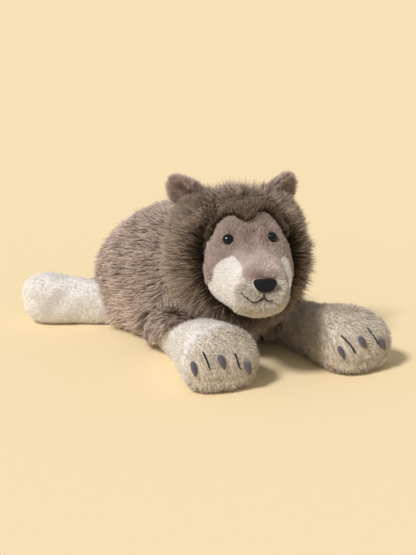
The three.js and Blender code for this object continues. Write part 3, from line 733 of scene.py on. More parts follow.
def makeBody():
    coat = {"grid": formGrid(bodyForm, bodySkin, 7), "place": floorPlace, "body": "body"}
    makeSkin("back_skin", coat, ["brown"], ["back_cover"])
    belly = {**coat, "grid": bellyGrid()}
    makeSkin("belly_skin", belly, ["cream"], ["belly_panel"], closedEnds=False)

    common = {"comb": bodyComb, "keep": bodyKeep}
    for number, layer in enumerate(bodyLayers, 1):
        growPile("back_pile_" + str(number), coat, "long_pile_brown", "body", {
            **common, **layer, "swirl": 0.32, "overLimbs": True,
            "where": bodyWhere, "trim": bodyTrim, "tone": bodyTone,
        })
    for number, (name, place) in enumerate(forelegPlaces.items()):
        # long hair that hangs from the shoulder over the root of the foreleg
        def onShoulder(points, place=place):
            x, y, z = outOfPlace(points * mm, place).T
            near = (np.abs(x) < shoulderLook["halfWidth"]) & (y < 0) & (-y < shoulderLook["ahead"])
            return np.where(near & (z > shoulderLook["lowest"]) & (z < shoulderLook["highest"]), 1.0, 0.0)

        ahead = place["axes"] @ np.array([0, -0.75, -0.75])
        growPile("shoulder_pile_" + name, coat, "long_pile_brown", "body", {
            **common, "count": 7000, "length": shoulderLook["lengths"][name], "width": 0.9, "steps": 3,
            "rises": (0.42, 0.12), "spread": 0.2, "tuft": 6.0, "tufting": 0.5, "swirl": 0.3,
            "seed": 131 + number, "overLimbs": True, "where": onShoulder,
            "comb": lambda roots, ahead=ahead: np.broadcast_to(ahead, roots.shape),
            "tone": mottled(0.52, 0.14, 50, 19), "toneSpread": 0.25,
        })
    growPile("belly_pile", coat, "plush_cream", "cream", {
        **common, "count": 10000, "length": 7, "width": 0.7, "rises": (0.6, 0.25), "spread": 0.2,
        "tuft": 5.0, "tufting": 0.3, "seed": 29, "tone": mottled(0.6, 0.1, 40, 5),
        "where": lambda points: np.where(isPale(points) & (points[:, 2] > 2.5), 1.0, 0.0),
    })
    print("body made")


# Head: the hood round a recess for the face

hoodSkin = {"inset": 10, "rows": 64, "around": 96, "behindFace": 5}
opening = {"halfWidth": 46.5, "middle": 14, "rise": 46, "drop": 54}
brow = {  # on the forehead
    "side": -3.5, "line": 42, "peak": 10.5, "peakWidth": 11, "lobe": 22, "round": 0.03,
    "lowest": 26, "depth": 26,
}
maneLayers = [
    {"count": 46000, "length": 17, "width": 1.0, "rises": (0.66, 0.40), "spread": 0.20, "tuft": 5.0,
     "tufting": 0.35, "shade": -0.30, "toneSpread": 0.12, "seed": 101},
    {"count": 37000, "length": 23, "width": 0.8, "steps": 3, "rises": (0.64, 0.34), "spread": 0.24,
     "tuft": 4.5, "tufting": 0.45, "shade": 0.04, "toneSpread": 0.22, "seed": 141},
    {"count": 16000, "length": 29, "width": 0.5, "steps": 3, "rises": (0.66, 0.40), "spread": 0.30,
     "tuft": 3.5, "tufting": 0.3, "shade": 0.40, "toneSpread": 0.24, "seed": 171},
]


def openingShare(points):
    # below 1 inside the hood's opening, an egg
    reach = np.where(points[..., 2] > opening["middle"], opening["rise"], opening["drop"])
    share = np.hypot(points[..., 0] / opening["halfWidth"], (points[..., 2] - opening["middle"]) / reach)
    return np.where(points[..., 1] < -10, share, 9.0)


def hoodGrid():
    # a ball round -Y, pressed in wherever the face lies over it
    polar = np.linspace(0, math.pi, hoodSkin["rows"])[:, None]
    turn = fullTurn(hoodSkin["around"])[None, :]
    radius = headBall["radius"] - hoodSkin["inset"]
    x, y, z = np.broadcast_arrays(
        radius * np.sin(polar) * np.cos(turn), -radius * np.cos(polar), radius * np.sin(polar) * np.sin(turn)
    )
    front = frontOf(faceForm, x, z, faceSkin["inset"], 0.0)
    covered = (front > -faceForm["back"] + 1) & (y < 0)
    return np.stack([x, np.where(covered, np.maximum(y, hoodSkin["behindFace"] - front), y), z], axis=-1)


def browShare(points):
    # 1 on the face where it is mane: behind a line with a peak between two round lobes
    x, forward = points[..., 0] - brow["side"], -points[..., 1]
    line = brow["line"] + brow["peak"] * np.exp(-((x / brow["peakWidth"]) ** 2))
    line = line + brow["round"] * np.clip(np.abs(x) - brow["lobe"], 0, 20) ** 2
    return ease(line - forward, -0.8, 0.8) * ease(points[..., 2], brow["lowest"], brow["lowest"] + 14)


def maneComb(roots):
    # away from the face, over the ball and back; just above the face forward, on to the brow
    near = (1 - ease(openingShare(roots), 1.05, 1.5)) * ease(roots[:, 2], 30, 50)
    away = unit(roots * np.array([1, 0, 1])) * 0.85 + np.array([0, 0.42, -0.06])
    return away - near[:, None] * np.array([0, 0.6, 0])


def maneTone(roots):
    # darkest beside and below the face, palest on top
    rim = openingShare(roots)
    dark = (1 - ease(rim, 1.0, 1.4)) * (1 - ease(roots[:, 2], 30, 54))
    rightSide = ease(-roots[:, 0], 20, 60) * ease(roots[:, 1], -60, 0)
    top = ease(roots[:, 2], 28, 54)
    return 0.57 + 0.16 * top - 0.28 * dark - 0.04 * rightSide + 0.13 * ripple(roots, 60, 23)


def maneTrim(roots):
    # a little longer round the face, shorter on top and on the wolf's left
    length = 1 + 0.15 * (1 - ease(openingShare(roots), 1.1, 1.7))
    return length * (1 - 0.12 * ease(roots[:, 2], 25, 60)) * (1 - 0.15 * ease(roots[:, 0], 30, 60))


def makeHood():
    coat = {"grid": hoodGrid(), "place": headPlace, "body": "head"}
    makeSkin("hood_skin", coat, ["brown"], ["hood"])
    for number, layer in enumerate(maneLayers, 1):
        growPile("mane_pile_" + str(number), coat, "mane_pile_brown", "mane", {
            **layer, "comb": maneComb, "swirl": 0.3, "overLimbs": True, "tone": maneTone, "trim": maneTrim,
            "where": lambda points: (openingShare(points) > 1) * (1 + 0.6 * (openingShare(points) < 1.4)),
        })
    print("hood made")


# Face: short mauve pile, pale petals on the cheeks, beige round the nose and mouth

faceSkin = {
    "inset": 2.5, "rows": 110, "around": 150, "lump": 0,
    "roll": 2.6, "rollForward": 109, "rollHeight": 12, "rollReach": (14, 6, 5), "rollHair": (15, 9, 7),
    "bridgeForward": 78, "hoodEdge": 26,
}
eyeLook = {
    "radius": 5.6, "proud": 3.4, "flat": 0.96, "thick": 0.5, "shank": 1.6, "deep": 9,
    "rows": 12, "around": 40,
}
noseLook = {
    "halfWidth": 13.2, "halfHeight": 5.9, "power": 3.2, "taper": 3.0, "dip": 1.2, "proud": 3.0, "sunk": 3.0,
    "height": 2.0, "straight": 0.25, "edge": 0.55, "follows": 0.35, "rows": 14, "around": 96,
}
mouthLook = {"thread": 1.0, "side": -2, "join": -9.8, "rise": 3.4, "sag": 1}
lips = {
    "left": {"dipSide": 5, "dip": -13.5, "endSide": 9, "end": -14.5},
    "right": {"dipSide": 10, "dip": -14.5, "endSide": 21.5, "end": -6},
}
petal = {
    "inner": {"left": 25, "right": 15.5}, "flare": {"left": 0.0, "right": 1.5},
    "waist": 12, "back": 66, "top": 26, "jaw": -27,
}
muzzleZone = {"height": -9, "halfWidth": 25, "halfHeight": 17, "bridge": 5}


def eyeFrame(name):
    # the shank's line through a CAD eye, from its corners' spread, and the dome's flat back
    points = nodePoints("eye_" + name, headPlace)
    middle = points.mean(axis=0)
    _, _, lines = np.linalg.svd(points - middle)
    axis = lines[0] if lines[0][1] < 0 else -lines[0]
    tip = ((points - middle) @ axis).max()
    return middle + (tip - eyeLook["proud"]) * axis, axis


eyeFrames = {name: eyeFrame(name) for name in sides}


def lipPaths():
    look = mouthLook
    paths = []
    for name, side in sides.items():
        dipSide, dip, endSide, end = (lips[name][key] for key in ("dipSide", "dip", "endSide", "end"))
        x = look["side"] + side * np.array([0, 0.5 * dipSide, dipSide, 0.5 * (dipSide + endSide), endSide])
        z = [look["join"], 0.5 * (look["join"] + dip) - look["sag"], dip, 0.6 * dip + 0.4 * end, end]
        paths.append(onFront(faceForm, x, z))
    height = np.linspace(look["join"] + look["rise"], look["join"], 4)
    paths.append(onFront(faceForm, np.full(4, look["side"]), height))
    return [resample(path, 40) for path in paths]


mouthPaths = lipPaths()


def nearest(points, paths):
    # the distance from each point to the nearest of the paths' points
    gaps = [np.sqrt(((points[:, None, :] - path[None]) ** 2).sum(-1)).min(axis=1) for path in paths]
    return np.min(gaps, axis=0)


def faceZones(points):
    # shares of beige and cream, the rest being mauve: a petal on each cheek, from a tip below the
    # eye down to the jaw and in to the bridge, and an oval round the mouth
    side, x, forward, z = points[..., 0], np.abs(points[..., 0]), -points[..., 1], points[..., 2]
    inner, flare = (np.where(side > 0, petal[key]["left"], petal[key]["right"]) for key in ("inner", "flare"))
    off = (z - petal["waist"]) / 9
    inner = inner + np.where(off > 0, 6.5, flare) * off**2
    inner = np.where(z < -8, inner - 2.2 * (-8 - z), inner)
    back = petal["back"] - 1.6 * np.clip(-6 - z, 0, 20) + 0.6 * np.clip(z - 10, 0, 16)
    below = 1 - ease(z, petal["top"] - 1, petal["top"] + 1)
    cream = ease(x - inner, -0.7, 0.7) * ease(forward - back, -0.8, 0.8) * below
    cream = np.maximum(cream, 1 - ease(z, petal["jaw"] - 2, petal["jaw"] + 2))
    height, halfWidth = muzzleZone["height"], muzzleZone["halfWidth"]
    oval = np.hypot((side + 1) / halfWidth, (z - height) / muzzleZone["halfHeight"])
    oval = np.where((z < height) & (forward > 84), x / halfWidth, oval)
    beige = (1 - ease(oval, 0.92, 1.05)) * ease(forward, 84, 96)
    beige = beige * (1 - ease(z, muzzleZone["bridge"], muzzleZone["bridge"] + 3))
    return beige, cream * (1 - beige)


def faceComb(roots):
    # from the nose up the bridge and back over the cheeks; round the mouth outwards and down
    mouthwards = ease(-roots[:, 1], 92, 104)[:, None]
    back = np.stack([roots[:, 0] * 0.015, np.full(len(roots), 0.9), 0.1 + roots[:, 2] * 0.012], axis=-1)
    middle = np.array([0, 0, noseLook["height"]])
    outward = unit((roots - middle) * np.array([1, 0, 1])) + np.array([0, 0.35, -0.25])
    return back * (1 - mouthwards) + outward * mouthwards


def offEyes(points):
    # the distance from the nearer eye's edge, square to its shank's line
    gaps = []
    for middle, axis in eyeFrames.values():
        offset = points - middle
        offset = offset - (offset @ axis)[:, None] * axis
        gaps.append(np.linalg.norm(offset, axis=1) - eyeLook["radius"])
    return np.minimum(*gaps)


def offNose(points):
    # below 0 within the nose's outline, seen from the front
    across = np.abs(points[:, 0]) / noseLook["halfWidth"]
    along = np.abs(points[:, 2] - noseLook["height"]) / noseLook["halfHeight"]
    return np.where(points[:, 1] < -95, (across**4 + along**4) ** 0.25 - 1, 9.0)


def faceTrim(roots):
    # shorter beside the eyes, nose and lips
    beside = np.minimum(offEyes(roots), 8 * offNose(roots))
    lipGap = nearest(roots, mouthPaths)
    return (0.45 + 0.55 * ease(beside, 0, 5)) * (0.4 + 0.6 * ease(lipGap, 0.8, 4))


def faceWhere(points):
    # none under the eyes, the nose and the lips, or deep under the hood
    free = (offEyes(points) > -0.4) & (offNose(points) > -0.06) & (nearest(points, mouthPaths) > 1.2)
    return free * (points[:, 1] < -faceSkin["hoodEdge"])


def rollShare(points, side, along, up):
    # how much of the fold of skin over the nose there is at a point, for its reaches in three ways
    forward, height = -points[..., 1] - faceSkin["rollForward"], points[..., 2] - faceSkin["rollHeight"]
    return np.exp(-((points[..., 0] / side) ** 4) - (forward / along) ** 2 - (height / up) ** 2)


def browBehind(roots):
    # from 0 at the edge of the mane on the forehead to 1 well behind it
    return ease(brow["line"] + roots[:, 1], 0, brow["depth"])


def browComb(roots):
    # up from the face and a little outwards, and further back over the mane
    across = 0.02 * (roots[:, 0] - brow["side"])
    fan = np.stack([across, np.full(len(roots), 0.15), np.ones(len(roots))], axis=-1)
    return unit(fan) + np.array([0, 0.6, 0]) * browBehind(roots)[:, None]


def browTone(roots):
    # darkest at the edge of the face and on the temples
    temple = ease(np.abs(roots[:, 0] - brow["side"]), 14, 32)
    return 0.24 + 0.4 * browBehind(roots) - 0.24 * temple + 0.12 * ripple(roots, 14, 47)


def faceTone(roots):
    # palest on the bridge of the nose
    bridge = ease(-roots[:, 1], 55, 90) * (1 - ease(np.abs(roots[:, 0]), 12, 30)) * (roots[:, 2] > 0)
    return 0.38 + 0.5 * bridge + 0.15 * ripple(roots, 26, 41)


def faceKeep(points):
    # strands whose tips don't lie over the eyes, the nose or the lips
    tips = points[-1]
    return (offEyes(tips) > -0.5) & (offNose(tips) > 0.02) & (nearest(tips, mouthPaths) > 0.8)


def faceMaterialAt(points):
    # the backing's number: mauve, cheek, muzzle or, on the bridge, rose
    beige, cream = faceZones(points)
    bridge = (-points[:, 1] > faceSkin["bridgeForward"]) & (points[:, 2] > 0)
    return np.where(beige > 0.5, 2, np.where(cream > 0.5, 1, np.where(bridge, 3, 0)))


facePile = {
    "comb": faceComb, "trim": faceTrim, "keep": faceKeep, "turned": 0.5, "swirl": 0.3, "tone": faceTone,
}
facePiles = {
    "mask_pile": {
        **facePile, "count": 45000, "length": 5.2, "width": 0.55, "rises": (0.6, 0.25), "spread": 0.2,
        "tuft": 3.5, "tufting": 0.25, "seed": 211, "look": ("short_pile_mauve", "face"),
        "where": lambda p: faceWhere(p) * (1 - faceZones(p)[0] - faceZones(p)[1]) * (1 - browShare(p)),
    },
    "roll_pile": {
        **facePile, "count": 2600, "length": 7.5, "width": 0.4, "rises": (0.8, 0.45), "spread": 0.35,
        "tuft": 3.0, "tufting": 0.35, "seed": 217, "look": ("short_pile_mauve", "face"),
        "where": lambda p: faceWhere(p) * rollShare(p, *faceSkin["rollHair"]),
        "tone": mottled(0.85, 0.1, 14, 43),
    },
    "brow_pile": {
        **facePile, "count": 20000, "length": 26, "width": 0.7, "steps": 3, "rises": (0.75, 0.5),
        "spread": 0.28, "tuft": 4.5, "tufting": 0.4, "seed": 219, "look": ("mane_pile_brown", "mane"),
        "comb": browComb, "trim": lambda roots: 0.5 + 0.5 * browBehind(roots), "where": browShare,
        "tone": browTone, "toneSpread": 0.26,
    },
    "cheek_pile": {
        **facePile, "count": 19000, "length": 3.6, "width": 0.34, "rises": (0.6, 0.3), "spread": 0.2,
        "tuft": 3.0, "tufting": 0.15, "seed": 223, "look": ("plush_cream", "cream"),
        "where": lambda p: faceWhere(p) * faceZones(p)[1],
    },
    # sand round the nose and mouth, darker than the paws': partly painted shade under the chin
    "muzzle_pile": {
        **facePile, "count": 14000, "length": 6.5, "width": 0.42, "rises": (0.66, 0.34), "spread": 0.26,
        "tuft": 4.0, "tufting": 0.35, "seed": 227, "look": ("curly_pile_beige", "beige"),
        "where": lambda p: faceWhere(p) * faceZones(p)[0],
    },
}


def makeFace():
    grid = formGrid(faceForm, faceSkin)
    roll = faceSkin["roll"] * rollShare(grid, *faceSkin["rollReach"])
    grid = grid + roll[..., None] * unit(np.array([0, -1.0, 1.0]))
    coat = {"grid": grid, "place": headPlace, "body": "head"}
    covers = ["face_mask", "cheeks_and_chin", "muzzle"]
    face = makeSkin("face_skin", coat, ["mauve", "cheek", "muzzle", "rose"], covers)
    paintZones(face, headPlace, faceMaterialAt)
    for name, pile in facePiles.items():
        growPile(name, coat, *pile["look"], pile)
    print("face made")


# Eyes, nose and mouth

def eyeMaterial():
    material, tree, surface = newMaterial("black_eye", (0.003, 0.003, 0.004), 0.06, Specular_IOR_Level=0.4)
    place = tree.nodes.new("ShaderNodeTexCoord")
    dust = add(tree, "ShaderNodeTexNoise", Scale=900.0, Detail=2.0)
    wear = ramp(tree, [(0.45, (0.05, 0.05, 0.05)), (0.75, (0.09, 0.09, 0.09))])
    wire(
        tree, (place.outputs["Object"], dust.inputs["Vector"]), (dust.outputs[0], wear.inputs[0]),
        (wear.outputs["Color"], surface["Roughness"]),
    )
    return material


def stitchMaterial(name, colour, pale, degrees, density, roughness, sheen):
    # satin stitch: bands square to the way the threads lie, seen in bump and in colour, whose paler side is
    # painted sheen on the threads
    shine = {"Sheen_Weight": sheen, "Specular_IOR_Level": 0.3}
    material, tree, surface = newMaterial(name, colour, roughness, **shine)
    place = tree.nodes.new("ShaderNodeTexCoord")
    turned = add(tree, "ShaderNodeMapping", Rotation=[math.radians(angle) for angle in degrees])
    threads = add(tree, "ShaderNodeTexWave", Scale=density, Distortion=1.2, Detail=2.0)
    threads.inputs["Detail Scale"].default_value = 2.0
    # painted sheen: each band runs from the thread's colour to its paler one
    sheenTint = ramp(tree, [(0.0, colour), (1.0, pale)])
    raised = add(tree, "ShaderNodeBump", Strength=0.8, Distance=0.0004)
    wire(
        tree, (place.outputs["Object"], turned.inputs["Vector"]),
        (turned.outputs["Vector"], threads.inputs["Vector"]),
        (threads.outputs["Color"], sheenTint.inputs[0]), (threads.outputs[1], raised.inputs["Height"]),
        (sheenTint.outputs["Color"], surface["Base Color"]), (raised.outputs["Normal"], surface["Normal"]),
    )
    return material


stitches = {
    # each colour and the paler one of its painted sheen, how the threads lie in degrees, their density,
    # roughness and sheen
    "black_satin": ((0.004, 0.004, 0.005), (0.011, 0.011, 0.014), (0, 0, -23), 420.0, 0.8, 0.0),
    "black_thread": ((0.004, 0.004, 0.005), (0.012, 0.012, 0.015), (0, 0, 0), 900.0, 0.7, 0.05),
    "claw_satin": ((0.045, 0.040, 0.052), (0.20, 0.18, 0.22), (0, 90, 0), 500.0, 0.5, 0.4),
    "gusset_knit": ((0.055, 0.038, 0.028), (0.14, 0.10, 0.08), (0, 0, 0), 260.0, 0.9, 0.1),
}
stitchMaterials = {name: stitchMaterial(name, *look) for name, look in stitches.items()}


def makeEyes():
    # a dome over a flat back and its shank, turned about the shank: radius cos, height sin
    material = eyeMaterial()
    radius, proud, flat, thick, shank, deep, rows, around = eyeLook.values()
    lift = np.linspace(math.pi / 2, 0, rows)
    radii = np.concatenate([radius * np.cos(lift), [radius * flat, shank, shank, 0]])
    heights = np.concatenate([proud * np.sin(lift), [-thick, -thick, -deep, -deep]])
    turn = fullTurn(around)
    for name, (middle, axis) in eyeFrames.items():
        across = unit(np.cross(axis, [0, 0, 1.0]))
        ring = np.cos(turn)[None, :, None] * across + np.sin(turn)[None, :, None] * np.cross(across, axis)
        points = middle + heights[:, None, None] * axis + radii[:, None, None] * ring
        eye = gridMesh("eye_dome_" + name, intoPlace(points, headPlace))
        finishMesh(eye, "head", [material], ["eye_" + name])


def makeNose():
    # a rounded trapezoid whose front swells: its outline shrinks as the profile comes forward,
    # after a straight share of its depth
    halfWidth, halfHeight, height = (noseLook[key] for key in ("halfWidth", "halfHeight", "height"))
    turn = fullTurn(noseLook["around"])
    power, straight, follows = noseLook["power"], noseLook["straight"], noseLook["follows"]
    rim = (np.abs(np.cos(turn)) ** power + np.abs(np.sin(turn)) ** power) ** (-1 / power)
    x, z = rim * np.cos(turn) * halfWidth, rim * np.sin(turn) * halfHeight
    x = x * (1 - noseLook["taper"] / halfWidth * (0.5 - 0.5 * z / halfHeight) * 1.5)
    z = z - noseLook["dip"] * np.exp(-((x / 5) ** 2)) * (z < 0)
    depth = np.linspace(0, 1, noseLook["rows"])[:, None]
    swell = np.clip((depth - straight) / (1 - straight), 0, 1) * math.pi / 2
    shrink = np.cos(swell) ** noseLook["edge"]
    outward = np.where(depth < straight, depth / straight * 0.6, 0.6 + 0.4 * np.sin(swell))
    outward = (noseLook["proud"] + noseLook["sunk"]) * outward - noseLook["sunk"]
    rimFront = frontOf(faceForm, x * 0.9, height + z * 0.9)[None, :]
    front = rimFront * follows + frontOf(faceForm, 0, height) * (1 - follows)
    points = np.stack(np.broadcast_arrays(x * shrink, -(front + outward), height + z * shrink), axis=-1)
    points[-1] = points[-1].mean(axis=0)
    base = np.broadcast_to([0, points[0, :, 1].mean(), height], points[:1].shape)
    nose = gridMesh("nose_pad", intoPlace(np.concatenate([base, points]), headPlace))
    finishMesh(nose, "head", [stitchMaterials["black_satin"]], ["nose"])


def makeMouth():
    # the threads of both lips and of the line above them, joined in one mesh
    work = bmesh.new()
    for path in mouthPaths:
        lip = threadMesh("lip", path, headPlace, mouthLook["thread"])
        work.from_mesh(lip.data)
        bpy.data.objects.remove(lip)
    mesh = bpy.data.meshes.new("mouth_thread")
    work.to_mesh(mesh)
    work.free()
    mouth = bpy.data.objects.new("mouth_thread", mesh)
    finishMesh(mouth, "head", [stitchMaterials["black_thread"]], ["mouth_stitch"])
    print("eyes, nose and mouth made")


# Ears: a cupped disc, thick at its rim, on its hinge line

earLook = {
    "halfWidth": 15, "halfHeight": 17, "tops": {"left": 31, "right": 34}, "taper": 0.28, "slant": 3,
    "thickness": 4.2, "cup": 5, "bowl": 4.6, "fold": 1.6, "liningHeight": 15, "rows": 36, "around": 64,
}
earPile = {
    "count": 7500, "length": 9.5, "width": 0.48, "rises": (0.7, 0.4), "spread": 0.3, "tuft": 4.0,
    "tufting": 0.35, "tone": mottled(0.88, 0.14, 20, 61),
}
liningPile = {
    "count": 4200, "length": 6.5, "width": 0.5, "rises": (0.66, 0.36), "spread": 0.28, "tuft": 3.0,
    "tufting": 0.35, "tone": mottled(0.92, 0.2, 12, 67),
}
earRootPile = {
    "count": 9000, "length": 25, "width": 0.7, "steps": 3, "rises": (0.88, 0.7), "spread": 0.26, "tuft": 4.5,
    "tufting": 0.4, "comb": maneComb, "tone": mottled(0.5, 0.14, 20, 69), "toneSpread": 0.25,
}
earRoot = {"aside": 7, "ahead": 8, "below": 5, "radius": 21}


def earGrid(name):
    # a flattened ball: its back swells, its front sinks into a bowl, its sides curl forward, and
    # it narrows and leans outward to its top
    polar, turn = np.linspace(0, math.pi, earLook["rows"])[:, None], fullTurn(earLook["around"])[None, :]
    rise = np.sin(polar)
    x, z, y = rise * np.cos(turn), rise * np.sin(turn), np.cos(polar) + 0 * turn
    inner = np.clip(1 - rise**2, 0, 1) * (y < 0)
    fold = earLook["fold"] * np.exp(-(((x - 0.15) * 4) ** 2)) * inner * (z < 0.5)
    depth = y * earLook["thickness"] + earLook["bowl"] * inner ** 0.8 - fold
    return np.stack(np.broadcast_arrays(
        x * earLook["halfWidth"] * (1 - earLook["taper"] * z) + sides[name] * earLook["slant"] * z,
        depth - earLook["cup"] * x**2,
        earLook["tops"][name] - earLook["halfHeight"] + z * earLook["halfHeight"],
    ), axis=-1)


def earFront(points):
    # 1 in the bowl of the ear, 0 on its rim and back
    x, y, z = points.T
    across = x / earLook["halfWidth"]
    bowl = np.hypot(across, (z - earLook["liningHeight"]) / earLook["halfHeight"])
    return ease(-(y + earLook["cup"] * across**2), -1.0, 1.2) * (1 - ease(bowl, 0.66, 0.9))


def earComb(roots):
    # outwards from the ear's root, and back
    return (roots - np.array([0, 0, 4])) * np.array([1, 0, 1]) * 0.06 + np.array([0, 0.3, 0])


def makeEars():
    hood = {"grid": hoodGrid(), "place": headPlace, "body": "head"}
    for number, name in enumerate(sides):
        body, place = "ear_" + name, earPlace(name)
        coat = {"grid": earGrid(name), "place": place, "body": body}
        covers = ["ear_back_" + name, "ear_lining_" + name]
        makeSkin("ear_skin_" + name, coat, ["rose"], covers)
        outer = {**earPile, "comb": earComb, "where": lambda p: 1 - earFront(p), "seed": 307 + number}
        lining = {**liningPile, "comb": earComb, "where": earFront, "seed": 317 + number}
        growPile("ear_pile_" + name, coat, "long_pile_brown", "face", outer)
        growPile("ear_lining_pile_" + name, coat, "ear_lining_mauve", "lining", lining)

        # long mane hair that stands up round the ear's root, thickest in front of it
        middle = outOfPlace(place["at"], headPlace)
        middle = middle + np.array([earRoot["aside"] * sides[name], -earRoot["ahead"], -earRoot["below"]])
        growPile("ear_root_pile_" + name, hood, "mane_pile_brown", "mane", {
            **earRootPile, "seed": 327 + number,
            "where": lambda p: np.exp(-((np.linalg.norm(p - middle, axis=1) / earRoot["radius"]) ** 4)),
        })
    print("ears made")


# Legs

legSkin = {"inset": 2.0, "rows": 40, "around": 64, "lump": 1.0, "floor": 1.2}
pawCrease = {"height": 18, "width": 2.2, "depth": 1.6, "forward": (105, 122)}
pawSeam = {  # where sand takes over from cream
    "left": {"start": 40, "slope": 0.2}, "right": {"start": 140, "slope": -0.3},
}
legRoot = {  # how far forward long hair reaches
    "left": {"start": 6, "slope": 1.4, "most": 45}, "right": {"start": -25, "slope": 1.9, "most": 92},
}
clawLook = {"rows": 22, "around": 28, "taper": 0.32, "proud": 0.8, "clear": 4.2}
toeLook = {
    "thread": 0.9, "halfHeight": 9, "clear": 1.4,
    "left": {"sides": (-27, 3), "heights": (36, 40), "tilt": 28},
    "right": {"sides": (-22, 10), "heights": (37, 33), "tilt": 16},
}
footLook = {"start": 72, "seamHeight": 34}
legPile = {"turned": 0.5, "tuft": 4.0}
sleevePile = {
    **legPile, "density": 1.0, "length": 5.0, "width": 0.33, "rises": (0.62, 0.3), "spread": 0.22,
    "tufting": 0.1, "swirl": 0.15, "tone": mottled(0.72, 0.1, 40, 73),
}
pawPile = {
    **legPile, "density": 1.05, "length": 6.6, "width": 0.38, "rises": (0.74, 0.42), "spread": 0.3,
    "tuft": 3.0, "tufting": 0.45, "curl": 0.9, "tone": mottled(0.5, 0.3, 9, 79),
}
rootPile = {
    "density": 1.5, "length": 18, "width": 0.8, "steps": 3, "rises": (0.55, 0.22), "spread": 0.22,
    "tuft": 5.0, "tufting": 0.45, "tone": mottled(0.68, 0.14, 50, 19), "toneSpread": 0.25,
    "comb": lambda roots: np.array([0, -0.2, -0.95]) + 0.004 * roots * np.array([1, 0, 0]),
}
hindlegPile = {
    **legPile, "density": 0.8, "length": 5.0, "width": 0.34, "rises": (0.6, 0.3), "spread": 0.2,
    "tufting": 0.25, "tone": mottled(0.9, 0.08, 40, 89),
}
footPile = {
    **legPile, "density": 0.85, "length": 5.5, "width": 0.36, "rises": (0.66, 0.36), "spread": 0.24,
    "tufting": 0.3, "curl": 0.4, "tone": mottled(0.6, 0.14, 20, 97),
}


def toePaths(name):
    look = toeLook[name]
    up = toeLook["halfHeight"] * np.linspace(-1, 1, 6)
    aside = up * math.tan(math.radians(look["tilt"]))
    middles = zip(look["sides"], look["heights"])
    return [resample(onFront(forelegForm, x - aside, z + up), 30) for x, z in middles]


def legComb(roots):
    # down the leg to the paw, and over its end downwards
    end = ease(-roots[:, 1], 132, 157)[:, None]
    ahead = np.array([0, -1.0, -0.2]) * (1 - end) + np.array([0, -0.3, -1.0]) * end
    return ahead + roots * np.array([0.006, 0, 0])


def makeClaw(name, number, place):
    # a teardrop along the claw's longest line: fullest above its middle, drawn to a point below
    node = "claw_" + name + "_" + str(number)
    points = nodePoints(node, place)
    middle = points.mean(axis=0)
    _, _, lines = np.linalg.svd(points - middle)
    down = lines[0] if lines[0][2] < 0 else -lines[0]
    across = unit(np.cross(down, [0, -1.0, 0]))
    proud = np.cross(across, down)
    half = np.abs((points - middle) @ down).max()
    wide = np.abs((points - middle) @ across).max()
    along = np.linspace(-1, 1, clawLook["rows"])[:, None, None]
    turn = fullTurn(clawLook["around"])[None, :, None]
    swell = wide * np.sqrt(np.clip(1 - along**2, 0, 1)) * (1 - clawLook["taper"] * along)
    ring = np.cos(turn) * across + clawLook["proud"] * np.sin(turn) * proud
    grid = middle + half * along * down + swell * ring
    claw = gridMesh(node.replace("claw", "claw_pad"), intoPlace(grid, place))
    finishMesh(claw, "foreleg_" + name, [stitchMaterials["claw_satin"]], [node])
    return middle + 0.8 * half * np.linspace(-1, 1, 9)[:, None] * down


def rootReach(points, name):
    # how far a point lies behind the slanting line up to which long body hair covers the leg
    line = legRoot[name]["start"] + legRoot[name]["slope"] * points[..., 2]
    return np.minimum(line, legRoot[name]["most"]) - 2.5 * np.clip(points[..., 0], 0, 40) + points[..., 1]


def pawReach(points, name):
    # how far a point lies past the slanting line where the sandy pile begins; low down it begins
    # earlier, round the sole, but for the wolf's right side of the paw
    line = pawSeam[name]["start"] + pawSeam[name]["slope"] * points[..., 0]
    low = np.clip(34 - points[..., 2], 0, 30) * ease(points[..., 0], -38, -26)
    return -points[..., 1] - line + 1.1 * low


